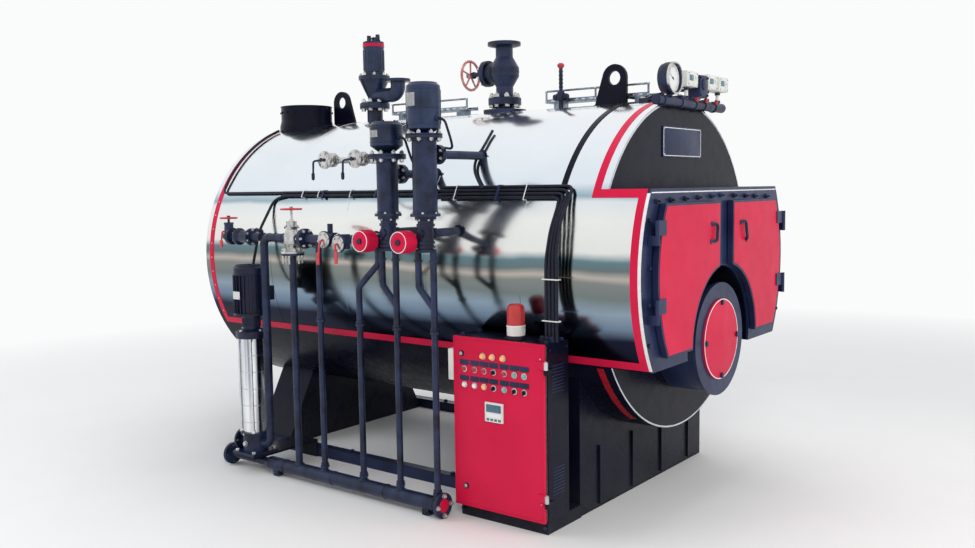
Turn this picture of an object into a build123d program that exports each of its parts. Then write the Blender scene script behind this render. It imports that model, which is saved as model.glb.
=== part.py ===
from build123d import *
import os
from math import sqrt, cos, sin, radians

# Horizontal fire-tube steam boiler with its feed pump, level chambers and control cabinet.
# Millimetres, +X towards the burner end, +Z up. Pieces are drawn with X = 0 at the middle of the skid.
# They are saved with the origin on the floor under the middle of the burner-end saddle.

# Barrel
axis_height = 1240
jacket_radius = 880
jacket_thick = 76
jacket_lap = 14
end_plate_thick = 12
shell_plate = 14
base_length = 2580
front_overhang = 210
rear_overhang = 180
jacket_split_drop = 440
cut_over = 20
fit_gap = 0.3

barrel_front = base_length / 2 + front_overhang
barrel_rear = -base_length / 2 - rear_overhang
barrel_length = barrel_front - barrel_rear
shell_radius = jacket_radius - jacket_thick
end_plate_radius = jacket_radius - jacket_lap

# Trim and bands on the jacket
trim_width = 40
trim_proud = 1.5
trim_inset = 40
band_width = 30
band_proud = 4
band_back = 240

# Skid and saddles
saddle_length = 300
front_saddle_inset = 175
rear_saddle_foot_inset = 225
rear_saddle_top_inset = 466
rail_width = 60
rail_height = 65

front_saddle_half = jacket_radius - front_saddle_inset
rear_saddle_foot_half = jacket_radius - rear_saddle_foot_inset
rear_saddle_top_half = jacket_radius - rear_saddle_top_inset

# Smokebox
box_depth = 225
box_top = 415
box_bottom = -445
box_wall = 10
frame_thick = 12
frame_lap = 30
box_jacket_sheet = 12
box_jacket_back = 15
door_gap = 5
door_thick = 30
door_inset = 105
door_top = 345
door_bottom = -385
door_split_half = 80
arch_radius = 400

door_radius = jacket_radius - door_inset
frame_front = barrel_front + box_depth
frame_back = frame_front - frame_thick
door_back = frame_front + door_gap
door_front = door_back + door_thick

# Fire tubes in the front plate
tube_bore = 56
tube_depth = 9
tube_rows = 5
tube_columns = 5
tube_pitch = 84
tube_field_centre_y = 470
tube_field_centre_z = 20

# Burner throat, on the furnace centre
burner_drop = 385
throat_outer = 285
throat_inner = 205
ring_radius = 300
ring_thick = 20
cover_radius = 215
cover_thick = 10
cover_dome = 6
cover_bolt_circle = 195
cover_bolt_radius = 9
cover_bolt_head = 8

# Door hinges
hinge_barrel = 11
hinge_pin = 5
hinge_height = 115
hinge_fixed_part = 45
hinge_inset = 80
hinge_upper = 155
hinge_lower = -210
hinge_strap = 8
hinge_strap_reach = 95
hinge_block_width = 12

hinge_side = jacket_radius - hinge_inset
burner_height = axis_height - burner_drop
middle = (Align.CENTER, Align.CENTER, Align.CENTER)
on_foot = (Align.CENTER, Align.CENTER, Align.MIN)
along_x = (1, 0, 0)
up = (0, 0, 1)


def rod(start, end, radius):
    # A round bar between two points.
    start, end = Vector(*start), Vector(*end)
    bar = Cylinder(radius, (end - start).length, align=on_foot)
    return Plane(origin=start, z_dir=end - start) * bar


def block(low, high):
    # A rectangular block between two opposite corners.
    size = [b - a for a, b in zip(low, high)]
    centre = [(a + b) / 2 for a, b in zip(low, high)]
    return Pos(*centre) * Box(*size)


def turned(profile, origin, direction):
    # A body of revolution from (radius, height) points.
    outline = make_face(Polyline(*[(radius, 0, height) for radius, height in profile], close=True))
    return Plane(origin=origin, z_dir=direction) * revolve(outline, Axis.Z)


def bent_pipe(points, radius, bend):
    # A pipe of straight runs joined by tangent arcs.
    path = FilletPolyline(*points, radius=bend)
    section = Plane(origin=path @ 0, z_dir=path % 0) * Circle(radius)
    return sweep(section, path=path)


def flange(origin, direction, outer, thick, circle, bolts, hole, bore=0):
    # A round flange with its bolt circle, standing on its back face.
    disc = Cylinder(outer / 2, thick, align=on_foot)
    disc -= [spot * Cylinder(hole / 2, thick, align=on_foot) for spot in PolarLocations(circle / 2, bolts)]
    if bore:
        disc -= Cylinder(bore / 2, thick, align=on_foot)
    return Plane(origin=origin, z_dir=direction) * disc


def jacket_envelope():
    # The barrel's outer cylinder, which every stub and saddle is cut to.
    place = Plane(origin=(barrel_rear - cut_over, 0, axis_height), z_dir=along_x)
    return place * Cylinder(jacket_radius, barrel_length + box_depth + 2 * cut_over, align=on_foot)


def seated(shape):
    # Cuts the foot of a piece to the curve of the jacket.
    return shape - jacket_envelope()


def ring_sketch(outer, inner):
    # A ring round the boiler axis, drawn looking along X.
    return Pos(0, axis_height) * (Circle(outer) - Circle(inner))


def height_band(low, high):
    # A tall strip of the drawing between two heights above the boiler axis.
    mid = axis_height + (low + high) / 2
    return Pos(0, mid) * Rectangle(4 * jacket_radius, high - low)


def slab_x(sketch, start, end):
    # The sketch carried along X from start to end.
    return extrude(Plane.YZ.offset(start) * sketch, amount=end - start)


def handwheel(origin, direction, radius, rim, hub, hub_length, bore, spokes):
    # A rim, straight spokes and a bored hub. The wheel's plane lies on the origin.
    rim_ring = Torus(radius - rim, rim)
    hub_body = Cylinder(hub, hub_length, align=middle)
    wheel = rim_ring + hub_body
    for spot in PolarLocations(0, spokes, start_angle=180 / spokes):
        wheel += spot * rod((0, 0, 0), (radius - rim, 0, 0), rim * spoke_share)
    wheel -= Cylinder(bore, hub_length + 2 * cut_over, align=middle)
    return Plane(origin=origin, z_dir=direction) * wheel


spoke_share = 0.7


# The barrel, its ends and its jacket

def pressure_shell():
    start = barrel_rear + end_plate_thick
    end = barrel_front - end_plate_thick
    return slab_x(ring_sketch(shell_radius, shell_radius - shell_plate), start, end)


def jacket(low, high):
    # One part of the insulated jacket, rebated at both ends for the end plates.
    body = slab_x(ring_sketch(jacket_radius, shell_radius) & height_band(low, high), barrel_rear, barrel_front)
    for start in (barrel_rear, barrel_front - end_plate_thick):
        body -= slab_x(ring_sketch(end_plate_radius, shell_radius - shell_plate), start, start + end_plate_thick)
    return body


def tube_spots():
    # The fire-tube field on each side of the centre, staggered row by row.
    spots = []
    for side in (-1, 1):
        for row in range(tube_rows):
            for column in range(tube_columns):
                y = side * (tube_field_centre_y + (column - (tube_columns - 1) / 2) * tube_pitch)
                z = tube_field_centre_z + (row - (tube_rows - 1) / 2) * tube_pitch
                z += (column % 2) * tube_pitch / 2
                far = sqrt(y ** 2 + z ** 2) > door_radius - frame_lap - tube_bore
                low = sqrt(y ** 2 + (z + burner_drop) ** 2) < arch_radius + tube_bore
                if not far and not low:
                    spots.append((y, axis_height + z))
    return spots


def front_tube_plate():
    start = barrel_front - end_plate_thick
    disc = slab_x(Pos(0, axis_height) * Circle(end_plate_radius), start, barrel_front)
    holes = [Pos(*spot) * Circle(tube_bore / 2) for spot in tube_spots()]
    return disc - [slab_x(hole, barrel_front - tube_depth, barrel_front) for hole in holes]


# Rear end: a plain plate with a bolted round access cover
rear_cover_radius = 330
rear_cover_thick = 25
rear_cover_rim = 60


def rear_end_plate():
    return slab_x(Pos(0, axis_height) * Circle(end_plate_radius), barrel_rear, barrel_rear + end_plate_thick)


def rear_access_cover():
    inner = rear_cover_radius - rear_cover_rim
    profile = [(0, 0), (rear_cover_radius, 0), (rear_cover_radius, rear_cover_thick),
               (inner, rear_cover_thick), (inner - rear_cover_thick, 2 * rear_cover_thick), (0, 2 * rear_cover_thick)]
    return turned(profile, (barrel_rear, 0, axis_height), (-1, 0, 0))


def jacket_hoop(start, width, proud, seat, low):
    # A strap round the jacket above a level, open where the flue's skirt stands.
    top = jacket_radius + proud
    hoop = ring_sketch(top, jacket_radius + seat) & height_band(low, top)
    return slab_x(hoop - flue_gap(start, start + width), start, start + width)


def flue_gap(start, end):
    # The strip of the drawing that the flue's skirt takes between two places along the barrel.
    nearest = min(max(flue_x, start), end)
    reach = flue_skirt ** 2 - (nearest - flue_x) ** 2
    if reach <= 0:
        return []
    return Pos(flue_side, axis_height + jacket_radius) * Rectangle(2 * sqrt(reach), jacket_radius)


def trim_strip(low, high, start, end):
    # Strips on the skin between two heights, on both sides.
    strip = ring_sketch(jacket_radius + trim_proud, jacket_radius + fit_gap) & height_band(low, high)
    return slab_x(strip, start, end)


def jacket_trim():
    # A red line round the edge of the bright skin: rear hoop, lower edge, smokebox edge and front hoop.
    # Its strips meet in butt joints with a small gap.
    rear_start = barrel_rear + trim_inset
    front_start = barrel_front - trim_inset - trim_width
    edge_end = frame_front - box_jacket_back
    edge_start = edge_end - trim_width
    low = -jacket_split_drop
    step_low = box_top - trim_width
    trim = jacket_hoop(rear_start, trim_width, trim_proud, fit_gap, low)
    trim += jacket_hoop(front_start, trim_width, trim_proud, fit_gap, box_top + fit_gap)
    trim += trim_strip(low, low + trim_width, rear_start + trim_width + fit_gap, front_band_start())
    trim += trim_strip(low, low + trim_width, front_band_start() + band_width, edge_start - fit_gap)
    trim += trim_strip(step_low, box_top, front_start, edge_start - fit_gap)
    return trim + trim_strip(low, box_top, edge_start, edge_end)


def jacket_bands():
    # A strap over the jacket's seam near the burner end.
    return jacket_hoop(front_band_start(), band_width, band_proud, 0, -jacket_split_drop)


def front_band_start():
    return barrel_front - band_back - band_width


# Skid, saddles

def rear_saddle():
    # A box pedestal with sloping sides, cut to the barrel.
    start = -base_length / 2
    meet = axis_height - sqrt(jacket_radius ** 2 - rear_saddle_top_half ** 2)
    outline = make_face(Polyline((-rear_saddle_foot_half, 0), (rear_saddle_foot_half, 0),
                                 (rear_saddle_top_half, meet), (-rear_saddle_top_half, meet), close=True))
    return seated(slab_x(outline, start, start + saddle_length))


def front_saddle():
    # A box pedestal with upright sides, cut to the barrel.
    start = base_length / 2 - saddle_length
    meet = axis_height - sqrt(jacket_radius ** 2 - front_saddle_half ** 2)
    return seated(block((start, -front_saddle_half, 0), (start + saddle_length, front_saddle_half, meet)))


def skid_rail(side):
    # A rectangular hollow section seen as one bar, from the rear saddle to the front one.
    near = side * rear_saddle_foot_half
    far = side * (rear_saddle_foot_half + rail_width)
    return block((-base_length / 2, min(near, far), 0), (base_length / 2 - saddle_length, max(near, far), rail_height))


# Smokebox

def box_outline(inset):
    # The middle slice of the barrel's circle with the arch over the burner taken out.
    slice_band = height_band(box_bottom + inset, box_top - inset)
    outline = (Pos(0, axis_height) * Circle(jacket_radius - box_jacket_sheet - inset)) & slice_band
    return outline - Pos(0, burner_height) * Circle(arch_radius - box_wall + inset)


def smokebox_casing():
    return slab_x(box_outline(0) - box_outline(box_wall), barrel_front, frame_back)


def smokebox_jacket():
    ring = ring_sketch(jacket_radius, jacket_radius - box_jacket_sheet) & height_band(box_bottom, box_top)
    return slab_x(ring, barrel_front, frame_front - box_jacket_back)


def door_outline(side, inset):
    # One door leaf: straight inner edge and top, arc outside, arch cut round the burner.
    inner = door_split_half + inset
    width = 2 * door_radius
    height = door_top - door_bottom - 2 * inset
    strip = Pos(side * (inner + width / 2), axis_height + (door_top + door_bottom) / 2) * Rectangle(width, height)
    leaf = (Pos(0, axis_height) * Circle(door_radius - inset)) & strip
    return leaf - Pos(0, burner_height) * Circle(arch_radius + inset)


def smokebox_frame():
    band = (Pos(0, axis_height) * Circle(jacket_radius)) & height_band(box_bottom, box_top)
    plate = band - Pos(0, burner_height) * Circle(arch_radius - box_wall)
    plate = plate - door_outline(-1, frame_lap) - door_outline(1, frame_lap)
    frame = slab_x(plate, frame_back, frame_front)
    for side in (-1, 1):
        for low in (hinge_lower, hinge_upper):
            frame += hinge_fixed(side, axis_height + low)
    return frame


def hinge_axis(side):
    return door_front + hinge_strap, side * hinge_side


def hinge_fixed(side, low):
    # The standing knuckle with its pin, on a block that reaches back to the frame.
    x, y = hinge_axis(side)
    outer = y + side * hinge_block_width
    base = block((frame_front, min(y, outer), low), (x, max(y, outer), low + hinge_fixed_part))
    barrel = rod((x, y, low), (x, y, low + hinge_fixed_part), hinge_barrel)
    return base + barrel + rod((x, y, low), (x, y, low + hinge_height), hinge_pin)


def hinge_moving(side, low):
    # The door's knuckle with its strap, which lies on the face of the leaf.
    x, y = hinge_axis(side)
    start = low + hinge_fixed_part + fit_gap
    end = low + hinge_height - fit_gap
    reach = y - side * hinge_strap_reach
    strap = block((x - hinge_strap, min(y, reach), start), (x, max(y, reach), end))
    knuckle = strap + rod((x, y, start), (x, y, end), hinge_barrel)
    return knuckle - rod((x, y, start - cut_over), (x, y, end + cut_over), hinge_pin + fit_gap)


def smokebox_door(side):
    leaf = slab_x(door_outline(side, 0), door_back, door_front)
    for low in (hinge_lower, hinge_upper):
        leaf += hinge_moving(side, axis_height + low)
    return leaf


def burner_throat():
    # The furnace mouth with its mounting ring.
    depth = box_depth - ring_thick
    profile = [(throat_inner, 0), (throat_outer, 0), (throat_outer, depth), (ring_radius, depth),
               (ring_radius, box_depth), (throat_inner, box_depth)]
    return turned(profile, (barrel_front, 0, burner_height), along_x)


def burner_cover():
    # A slightly domed blanking disc with four bolts.
    profile = [(0, 0), (cover_radius, 0), (cover_radius, cover_thick), (0, cover_thick + cover_dome)]
    disc = turned(profile, (frame_front, 0, burner_height), along_x)
    start = frame_front + cover_thick
    for turn in range(4):
        y = cover_bolt_circle * cos(radians(90 * turn))
        z = burner_height + cover_bolt_circle * sin(radians(90 * turn))
        disc += rod((start, y, z), (start + cover_bolt_head, y, z), cover_bolt_radius)
    return disc


# Lifting lugs, flue collar and cable trays on top of the barrel
lug_thick = 20
lug_radius = 76
lug_hole = 38
lug_rise = 147
lug_foot = 205
front_lug_back = 407
rear_lug_inset = 399
flue_inset = 184
flue_side = -138
flue_radius = 174
flue_wall = 8
flue_rise = 124
stub_depth = 440
flue_skirt = 184
flue_skirt_rise = 25
tray_width = 110
tray_side = 95
tray_rise = 40
tray_sheet = 4
tray_lip = 22
tray_bar = 6
tray_bar_rise = 68
tray_foot = 30
tray_foot_gap = 60
rear_tray_gap = 120
rear_tray_end = 8
front_tray_start = 600
front_tray_back = 215

lug_height = jacket_radius + lug_rise
front_lug_x = barrel_front - front_lug_back
rear_lug_x = barrel_rear + rear_lug_inset
flue_x = barrel_rear + flue_inset
flue_top = jacket_radius + flue_rise
flue_skirt_height = jacket_radius + flue_skirt_rise
tray_height = jacket_radius + tray_rise
tray_bar_height = tray_height + tray_bar_rise


def lifting_lug(x, upright_side):
    # A plate on edge: upright on one side, sloping on the other, with a round eye.
    eye = Pos(x, axis_height + lug_height) * Circle(lug_radius)
    edge = x + upright_side * lug_radius
    far = edge - upright_side * lug_foot
    foot_low = Pos((edge + far) / 2, axis_height + jacket_radius - lug_thick) * Rectangle(lug_foot, lug_thick)
    outline = make_hull(eye.edges() + foot_low.edges()) - Pos(x, axis_height + lug_height) * Circle(lug_hole)
    plate = extrude(Plane.XZ.offset(-lug_thick / 2) * outline, amount=lug_thick)
    return seated(plate)


def flue_collar():
    # The round flue outlet with its weather skirt, cut to the jacket.
    foot = axis_height + stub_depth
    centre = (flue_x, flue_side, foot)
    tube = turned([(flue_radius - flue_wall, 0), (flue_radius, 0), (flue_radius, flue_top + axis_height - foot),
                   (flue_radius - flue_wall, flue_top + axis_height - foot)], centre, up)
    skirt = turned([(flue_radius, 0), (flue_skirt, 0), (flue_skirt, flue_skirt_height + axis_height - foot - trim_width),
                    (flue_radius, flue_skirt_height + axis_height - foot)], centre, up)
    return seated(tube + skirt)


def cable_tray(start, end):
    # A lipped tray on feet with a guard bar on posts above its open side.
    low = axis_height + tray_height
    near = tray_side - tray_width / 2
    far = tray_side + tray_width / 2
    tray = block((start, near, low), (end, far, low + tray_sheet))
    for y in (near, far - tray_sheet):
        tray += block((start, y, low), (end, y + tray_sheet, low + tray_lip))
    bar = axis_height + tray_bar_height
    bar_y = near + tray_sheet / 2
    tray += rod((start, bar_y, bar), (end, bar_y, bar), tray_bar)
    for x in (start + tray_bar, (start + end) / 2, end - tray_bar):
        tray += rod((x, bar_y, low + tray_sheet), (x, bar_y, bar), tray_bar)
    for x in (start + tray_foot_gap, end - tray_foot_gap - tray_foot):
        tray += block((x, near, axis_height), (x + tray_foot, far, low))
    return seated(tray)


def cable_trays():
    rear = cable_tray(safety_x + rear_tray_gap, rear_tray_end)
    return rear + cable_tray(front_tray_start, barrel_front - front_tray_back)


# Safety valve on its nozzle
safety_inset = 710
safety_nozzle = 52
safety_flange = 200
safety_flange_thick = 18
safety_circle = 160
safety_bolt_hole = 18
safety_bolts = 8
safety_seat_rise = 105
safety_neck = 44
safety_body = 100
safety_body_rise = 175
safety_rim = 105
safety_rim_rise = 25
safety_bonnet = 68
safety_bonnet_rise = 180
safety_cap_rise = 45
safety_cap = 70
safety_ear = 14
safety_ear_height = 46
safety_ear_gap = 40
safety_outlet_reach = 215
safety_outlet = 48
safety_outlet_flange = 165
safety_outlet_rise = 165

safety_x = barrel_rear + safety_inset
safety_seat = jacket_radius + safety_seat_rise
safety_body_height = safety_seat + safety_body_rise
safety_rim_height = safety_body_height + safety_rim_rise
safety_bonnet_top = safety_rim_height + safety_bonnet_rise
safety_cap_top = safety_bonnet_top + safety_cap_rise
safety_outlet_top = safety_seat + safety_outlet_rise


def safety_nozzle_stub():
    stub = rod((safety_x, 0, axis_height), (safety_x, 0, axis_height + safety_seat - safety_flange_thick), safety_nozzle)
    stub += flange((safety_x, 0, axis_height + safety_seat - safety_flange_thick), up, safety_flange,
                   safety_flange_thick, safety_circle, safety_bolts, safety_bolt_hole)
    return seated(stub)


def safety_valve_body():
    # A funnel-shaped casting with an elbow that turns its outlet upwards.
    top = safety_body_height - safety_seat
    rim = safety_rim_height - safety_seat
    profile = [(0, 0), (safety_flange / 2, 0), (safety_flange / 2, safety_flange_thick),
               (safety_neck, safety_flange_thick * 2), (safety_neck, safety_flange_thick * 3), (safety_body, top),
               (safety_rim, top), (safety_rim, rim), (0, rim)]
    body = turned(profile, (safety_x, 0, axis_height + safety_seat), up)
    out_x = safety_x + safety_outlet_reach
    low = axis_height + safety_outlet_top - safety_body
    elbow = bent_pipe([(safety_x, 0, low), (out_x, 0, low), (out_x, 0, axis_height + safety_outlet_top)],
                      safety_outlet, safety_outlet * elbow_share)
    face = flange((out_x, 0, axis_height + safety_outlet_top - safety_flange_thick), up, safety_outlet_flange,
                  safety_flange_thick, outlet_circle, outlet_bolts, safety_bolt_hole)
    mouth = rod((out_x, 0, low + safety_outlet), (out_x, 0, axis_height + safety_outlet_top), outlet_bore)
    return body + elbow + face - mouth


elbow_share = 1.1
outlet_circle = 125
outlet_bolts = 4
outlet_bore = 25


def safety_valve_bonnet():
    low = axis_height + safety_rim_height
    profile = [(0, 0), (safety_bonnet + trim_proud, 0), (safety_bonnet + trim_proud, safety_ear),
               (safety_bonnet, 2 * safety_ear), (safety_bonnet, safety_bonnet_top - safety_rim_height),
               (safety_cap, safety_bonnet_top - safety_rim_height), (safety_cap, safety_cap_top - safety_rim_height),
               (0, safety_cap_top - safety_rim_height)]
    bonnet = turned(profile, (safety_x, 0, low), up)
    ear_low = axis_height + safety_cap_top
    for side in (-1, 1):
        x = safety_x + side * safety_ear_gap
        bonnet += rod((x, 0, ear_low), (x, 0, ear_low + safety_ear_height), safety_ear)
    return bonnet


# Main steam stop valve, upright, its handwheel towards the rear
main_x = 330
main_nozzle = 57
main_flange = 200
main_flange_thick = 20
main_circle = 160
main_bolts = 8
main_hole = 18
main_bore = 80
main_seat_rise = 65
main_body_height = 353
main_neck = 52
main_belly = 88
main_bonnet = 62
main_bonnet_reach = 110
main_bonnet_flange = 78
main_bonnet_flange_thick = 16
main_stem = 9
main_stem_reach = 285
main_wheel_reach = 262
main_wheel = 95
main_wheel_rim = 8
main_hub = 16
main_hub_length = 24
main_nut = 15
main_nut_thick = 10
main_spokes = 5
half_turn_share = 0.5
main_pad = 130
main_pad_rise = 15
main_yoke = 10
main_yoke_gap = 40
main_yoke_reach = 215

main_seat = jacket_radius + main_seat_rise
main_top = main_seat + main_body_height
main_pad_height = jacket_radius + main_pad_rise


def steam_nozzle():
    low = axis_height + stub_depth
    seat = axis_height + main_seat
    stub = rod((main_x, 0, low), (main_x, 0, seat - main_flange_thick), main_nozzle)
    stub += rod((main_x, 0, low), (main_x, 0, axis_height + main_pad_height), main_pad)
    stub += rod((main_x, 0, seat - main_flange_thick), (main_x, 0, seat), main_flange / 2)
    return seated(stub)


def main_valve_body():
    # A globe body on the upright pipe, its bonnet and yoke pointing to the rear. The seat joint is bolted up.
    seat = axis_height + main_seat
    rise = main_top - main_seat
    belly = rise / 2
    profile = [(0, 0), (main_flange / 2, 0), (main_flange / 2, main_flange_thick), (main_neck, 1.6 * main_flange_thick),
               (main_neck, belly - main_belly), (main_belly, belly - main_neck / 2), (main_belly, belly + main_neck / 2),
               (main_neck, belly + main_belly), (main_neck, rise - 1.6 * main_flange_thick),
               (main_flange / 2, rise - main_flange_thick), (main_flange / 2, rise), (0, rise)]
    body = turned(profile, (main_x, 0, seat), up)
    for turn in range(main_bolts):
        angle = radians(360 / main_bolts * (turn + half_turn_share))
        x = main_x + main_circle / 2 * cos(angle)
        y = main_circle / 2 * sin(angle)
        body -= rod((x, y, seat + rise - main_flange_thick - cut_over), (x, y, seat + rise + cut_over), main_hole / 2)
    body -= rod((main_x, 0, seat + rise - main_belly), (main_x, 0, seat + rise), main_bore / 2)
    mid = seat + belly
    profile = [(0, 0), (main_bonnet, 0), (main_bonnet, main_bonnet_reach), (main_bonnet_flange, main_bonnet_reach),
               (main_bonnet_flange, main_bonnet_reach + 2 * main_bonnet_flange_thick),
               (main_neck / 2, main_bonnet_reach + 2 * main_bonnet_flange_thick),
               (main_neck / 3, main_bonnet_reach + 4 * main_bonnet_flange_thick),
               (0, main_bonnet_reach + 4 * main_bonnet_flange_thick)]
    body += turned(profile, (main_x, 0, mid), (-1, 0, 0))
    yoke_start = main_x - main_bonnet_reach
    for side in (-1, 1):
        y = side * main_yoke_gap
        body += rod((yoke_start, y, mid), (main_x - main_yoke_reach, y, mid), main_yoke)
    body += block((main_x - main_yoke_reach - main_yoke, -main_yoke_gap - main_yoke, mid - main_yoke),
                  (main_x - main_yoke_reach + main_yoke, main_yoke_gap + main_yoke, mid + main_yoke))
    body += rod((main_x, 0, mid), (main_x - main_stem_reach, 0, mid), main_stem)
    nut_x = main_x - main_wheel_reach - main_hub_length / 2 - fit_gap
    body += rod((nut_x, 0, mid), (nut_x - main_nut_thick, 0, mid), main_nut)
    return body


def main_valve_wheel():
    mid = axis_height + (main_seat + main_top) / 2
    return handwheel((main_x - main_wheel_reach, 0, mid), (-1, 0, 0), main_wheel, main_wheel_rim,
                     main_hub, main_hub_length, main_stem + fit_gap, main_spokes)


# Vent valve on top
vent_x = 735
vent_pipe = 14
vent_body = 26
vent_body_rise = 45
vent_body_height = 43
vent_cross = 48
vent_stem = 11
vent_stem_rise = 142

vent_body_low = jacket_radius + vent_body_rise
vent_body_high = vent_body_low + vent_body_height
vent_stem_top = vent_body_high + vent_stem_rise


def vent_valve():
    body = rod((vent_x, 0, axis_height), (vent_x, 0, axis_height + vent_body_high), vent_pipe)
    body = seated(body)
    mid = axis_height + (vent_body_low + vent_body_high) / 2
    body += rod((vent_x, 0, axis_height + vent_body_low), (vent_x, 0, axis_height + vent_body_high), vent_body)
    body += rod((vent_x - vent_cross, 0, mid), (vent_x + vent_cross, 0, mid), vent_pipe)
    body += rod((vent_x, 0, mid), (vent_x, 0, axis_height + vent_stem_top), vent_stem)
    return body


# Instruments at the front: a bracket on the jacket, a cross pipe, a dial gauge and switch boxes
arm_back = 200
arm_front = 56
arm_half = 20
arm_side = 90
arm_thick = 10
arm_rise = 4
manifold_lead = 30
manifold_radius = 26
manifold_start = -356
manifold_end = 444
gauge_side = -205
gauge_radius = 82
gauge_depth = 66
gauge_rise = 94
gauge_stem = 9
switch_rise = 64
switch_height = 80
switch_stem = 10
switch_depth = 74
first_switch_side = -12
first_switch_width = 126
second_switch_side = 240
third_switch_side = 386
switch_width = 118
limiter_side = 122
limiter_width = 108
limiter_rise = 16
limiter_height = 116

arm_height = jacket_radius + arm_rise
manifold_x = barrel_front + manifold_lead
gauge_height = jacket_radius + gauge_rise


def instrument_manifold():
    # A cross pipe under two arms that reach over the barrel's front edge.
    low = axis_height + arm_height
    pipe = rod((manifold_x, manifold_start, manifold_level()), (manifold_x, manifold_end, manifold_level()), manifold_radius)
    back = barrel_front - arm_back
    for side in (-1, 1):
        near = side * arm_side - arm_half
        far = side * arm_side + arm_half
        arm = block((back, near, low), (barrel_front + arm_front, far, low + arm_thick))
        arm += block((back, near, axis_height), (back + arm_front, far, low))
        pipe += seated(arm)
        pipe += block((manifold_x - arm_half, near, manifold_level()), (manifold_x + arm_half, far, low))
    return pipe


def manifold_level():
    return axis_height + arm_height - manifold_radius


def pressure_gauge():
    # A dial case facing the burner end, on a short stem.
    z = axis_height + gauge_height
    front = manifold_x + gauge_depth / 2
    profile = [(0, 0), (gauge_radius * case_share, 0), (gauge_radius, gauge_depth / 3), (gauge_radius, gauge_depth),
               (gauge_radius * glass_share, gauge_depth), (gauge_radius * glass_share, gauge_depth * dial_share),
               (0, gauge_depth * dial_share)]
    case = turned(profile, (front - gauge_depth, gauge_side, z), along_x)
    low = manifold_level()
    stem = rod((manifold_x, gauge_side, low), (manifold_x, gauge_side, z - gauge_radius * glass_share), gauge_stem)
    return case + (stem - rod((manifold_x, manifold_start, low), (manifold_x, manifold_end, low), manifold_radius))


case_share = 0.92
glass_share = 0.9
dial_share = 0.75


def pressure_box(y, width, rise, height):
    # A switch or limiter case with eased upright edges, on a short stem.
    half = width / 2
    low = axis_height + jacket_radius + rise
    box = block((manifold_x - switch_depth / 2, y - half, low), (manifold_x + switch_depth / 2, y + half, low + height))
    box = fillet(box.edges().filter_by(Axis.Z), switch_stem / 2)
    stem = rod((manifold_x, y, manifold_level()), (manifold_x, y, low), switch_stem)
    return box + (stem - rod((manifold_x, manifold_start, manifold_level()), (manifold_x, manifold_end, manifold_level()),
                             manifold_radius))


def pressure_switches():
    boxes = pressure_box(first_switch_side, first_switch_width, switch_rise, switch_height)
    boxes += pressure_box(second_switch_side, switch_width, switch_rise, switch_height)
    return boxes + pressure_box(third_switch_side, switch_width, switch_rise, switch_height)


def pressure_limiter():
    return pressure_box(limiter_side, limiter_width, limiter_rise, limiter_height)


# Side fittings hang in one upright plane beside the barrel
side_gap = 240
feed_level = 160

side_line = -jacket_radius - side_gap

# Level chambers
rear_chamber_x = 400
front_chamber_x = 654
chamber_foot = 290
chamber_flange_thick = 14
rear_upper_tap = 505
front_upper_tap = 598
lower_tap = 205
tap_flange = 50
tap_flange_gap = 86
tap_pipe = 22
cluster_radius = 40
cluster_low = 112
cluster_flange = 54
cluster_cross = 46
rear_chamber_tube = 55
rear_chamber_top = 580
rear_chamber_flange = 98
rear_head = 84
rear_head_low = 648
rear_head_top = 766
front_chamber_tube = 62
front_chamber_top = 676
front_chamber_flange = 92
front_head = 84
front_head_low = 722
front_head_top = 945
head_neck = 36


def level_chamber(x, tube, top, plate, upper_tap):
    # An upright float chamber with two taps into the barrel and a drain cross under it.
    foot = axis_height + chamber_foot
    high = axis_height + top
    body = rod((x, side_line, foot), (x, side_line, high), tube)
    body += rod((x, side_line, foot), (x, side_line, foot + chamber_flange_thick), tube + chamber_flange_thick)
    body += rod((x, side_line, high), (x, side_line, high + chamber_flange_thick), plate)
    low = axis_height + cluster_low
    body += rod((x, side_line, low), (x, side_line, foot), cluster_radius)
    for z in (low, foot - chamber_flange_thick):
        body += rod((x, side_line, z), (x, side_line, z + chamber_flange_thick), cluster_flange)
    cross = axis_height + lower_tap
    body += rod((x, side_line, cross), (x, side_line - cluster_cross, cross), tap_pipe)
    for tap in (upper_tap, lower_tap):
        pipe = rod((x, side_line, axis_height + tap), (x, -stub_depth, axis_height + tap), tap_pipe)
        body += seated(pipe)
        face = side_line + tap_flange_gap
        if tap == upper_tap:
            body += rod((x, face, axis_height + tap), (x, face + 2 * chamber_flange_thick, axis_height + tap), tap_flange)
    return body


def level_head(x, radius, low, high, top):
    # The switch head: a cone-bottomed can on the chamber's cover flange.
    base = axis_height + top + chamber_flange_thick
    rise = axis_height + low - base
    height = axis_height + high - base
    profile = [(0, 0), (head_neck, 0), (head_neck, rise / 3), (radius, rise), (radius, height - chamber_flange_thick),
               (radius - chamber_flange_thick, height), (0, height)]
    return turned(profile, (x, side_line, base), up)


def level_heads():
    rear = level_head(rear_chamber_x, rear_head, rear_head_low, rear_head_top, rear_chamber_top)
    return rear + level_head(front_chamber_x, front_head, front_head_low, front_head_top, front_chamber_top)


# Drain valves with drum-shaped red handwheels facing the side
rear_drum_x = 322
front_drum_x = 588
drum_level = 165
drum_radius = 56
drum_depth = 80
drum_reach = 134
drum_stem = 9
drum_body = 24
drum_nut = 14
drum_nut_thick = 8
drum_rim_wall = 9
drum_web = 14

drum_front = -side_line + drum_reach


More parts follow.
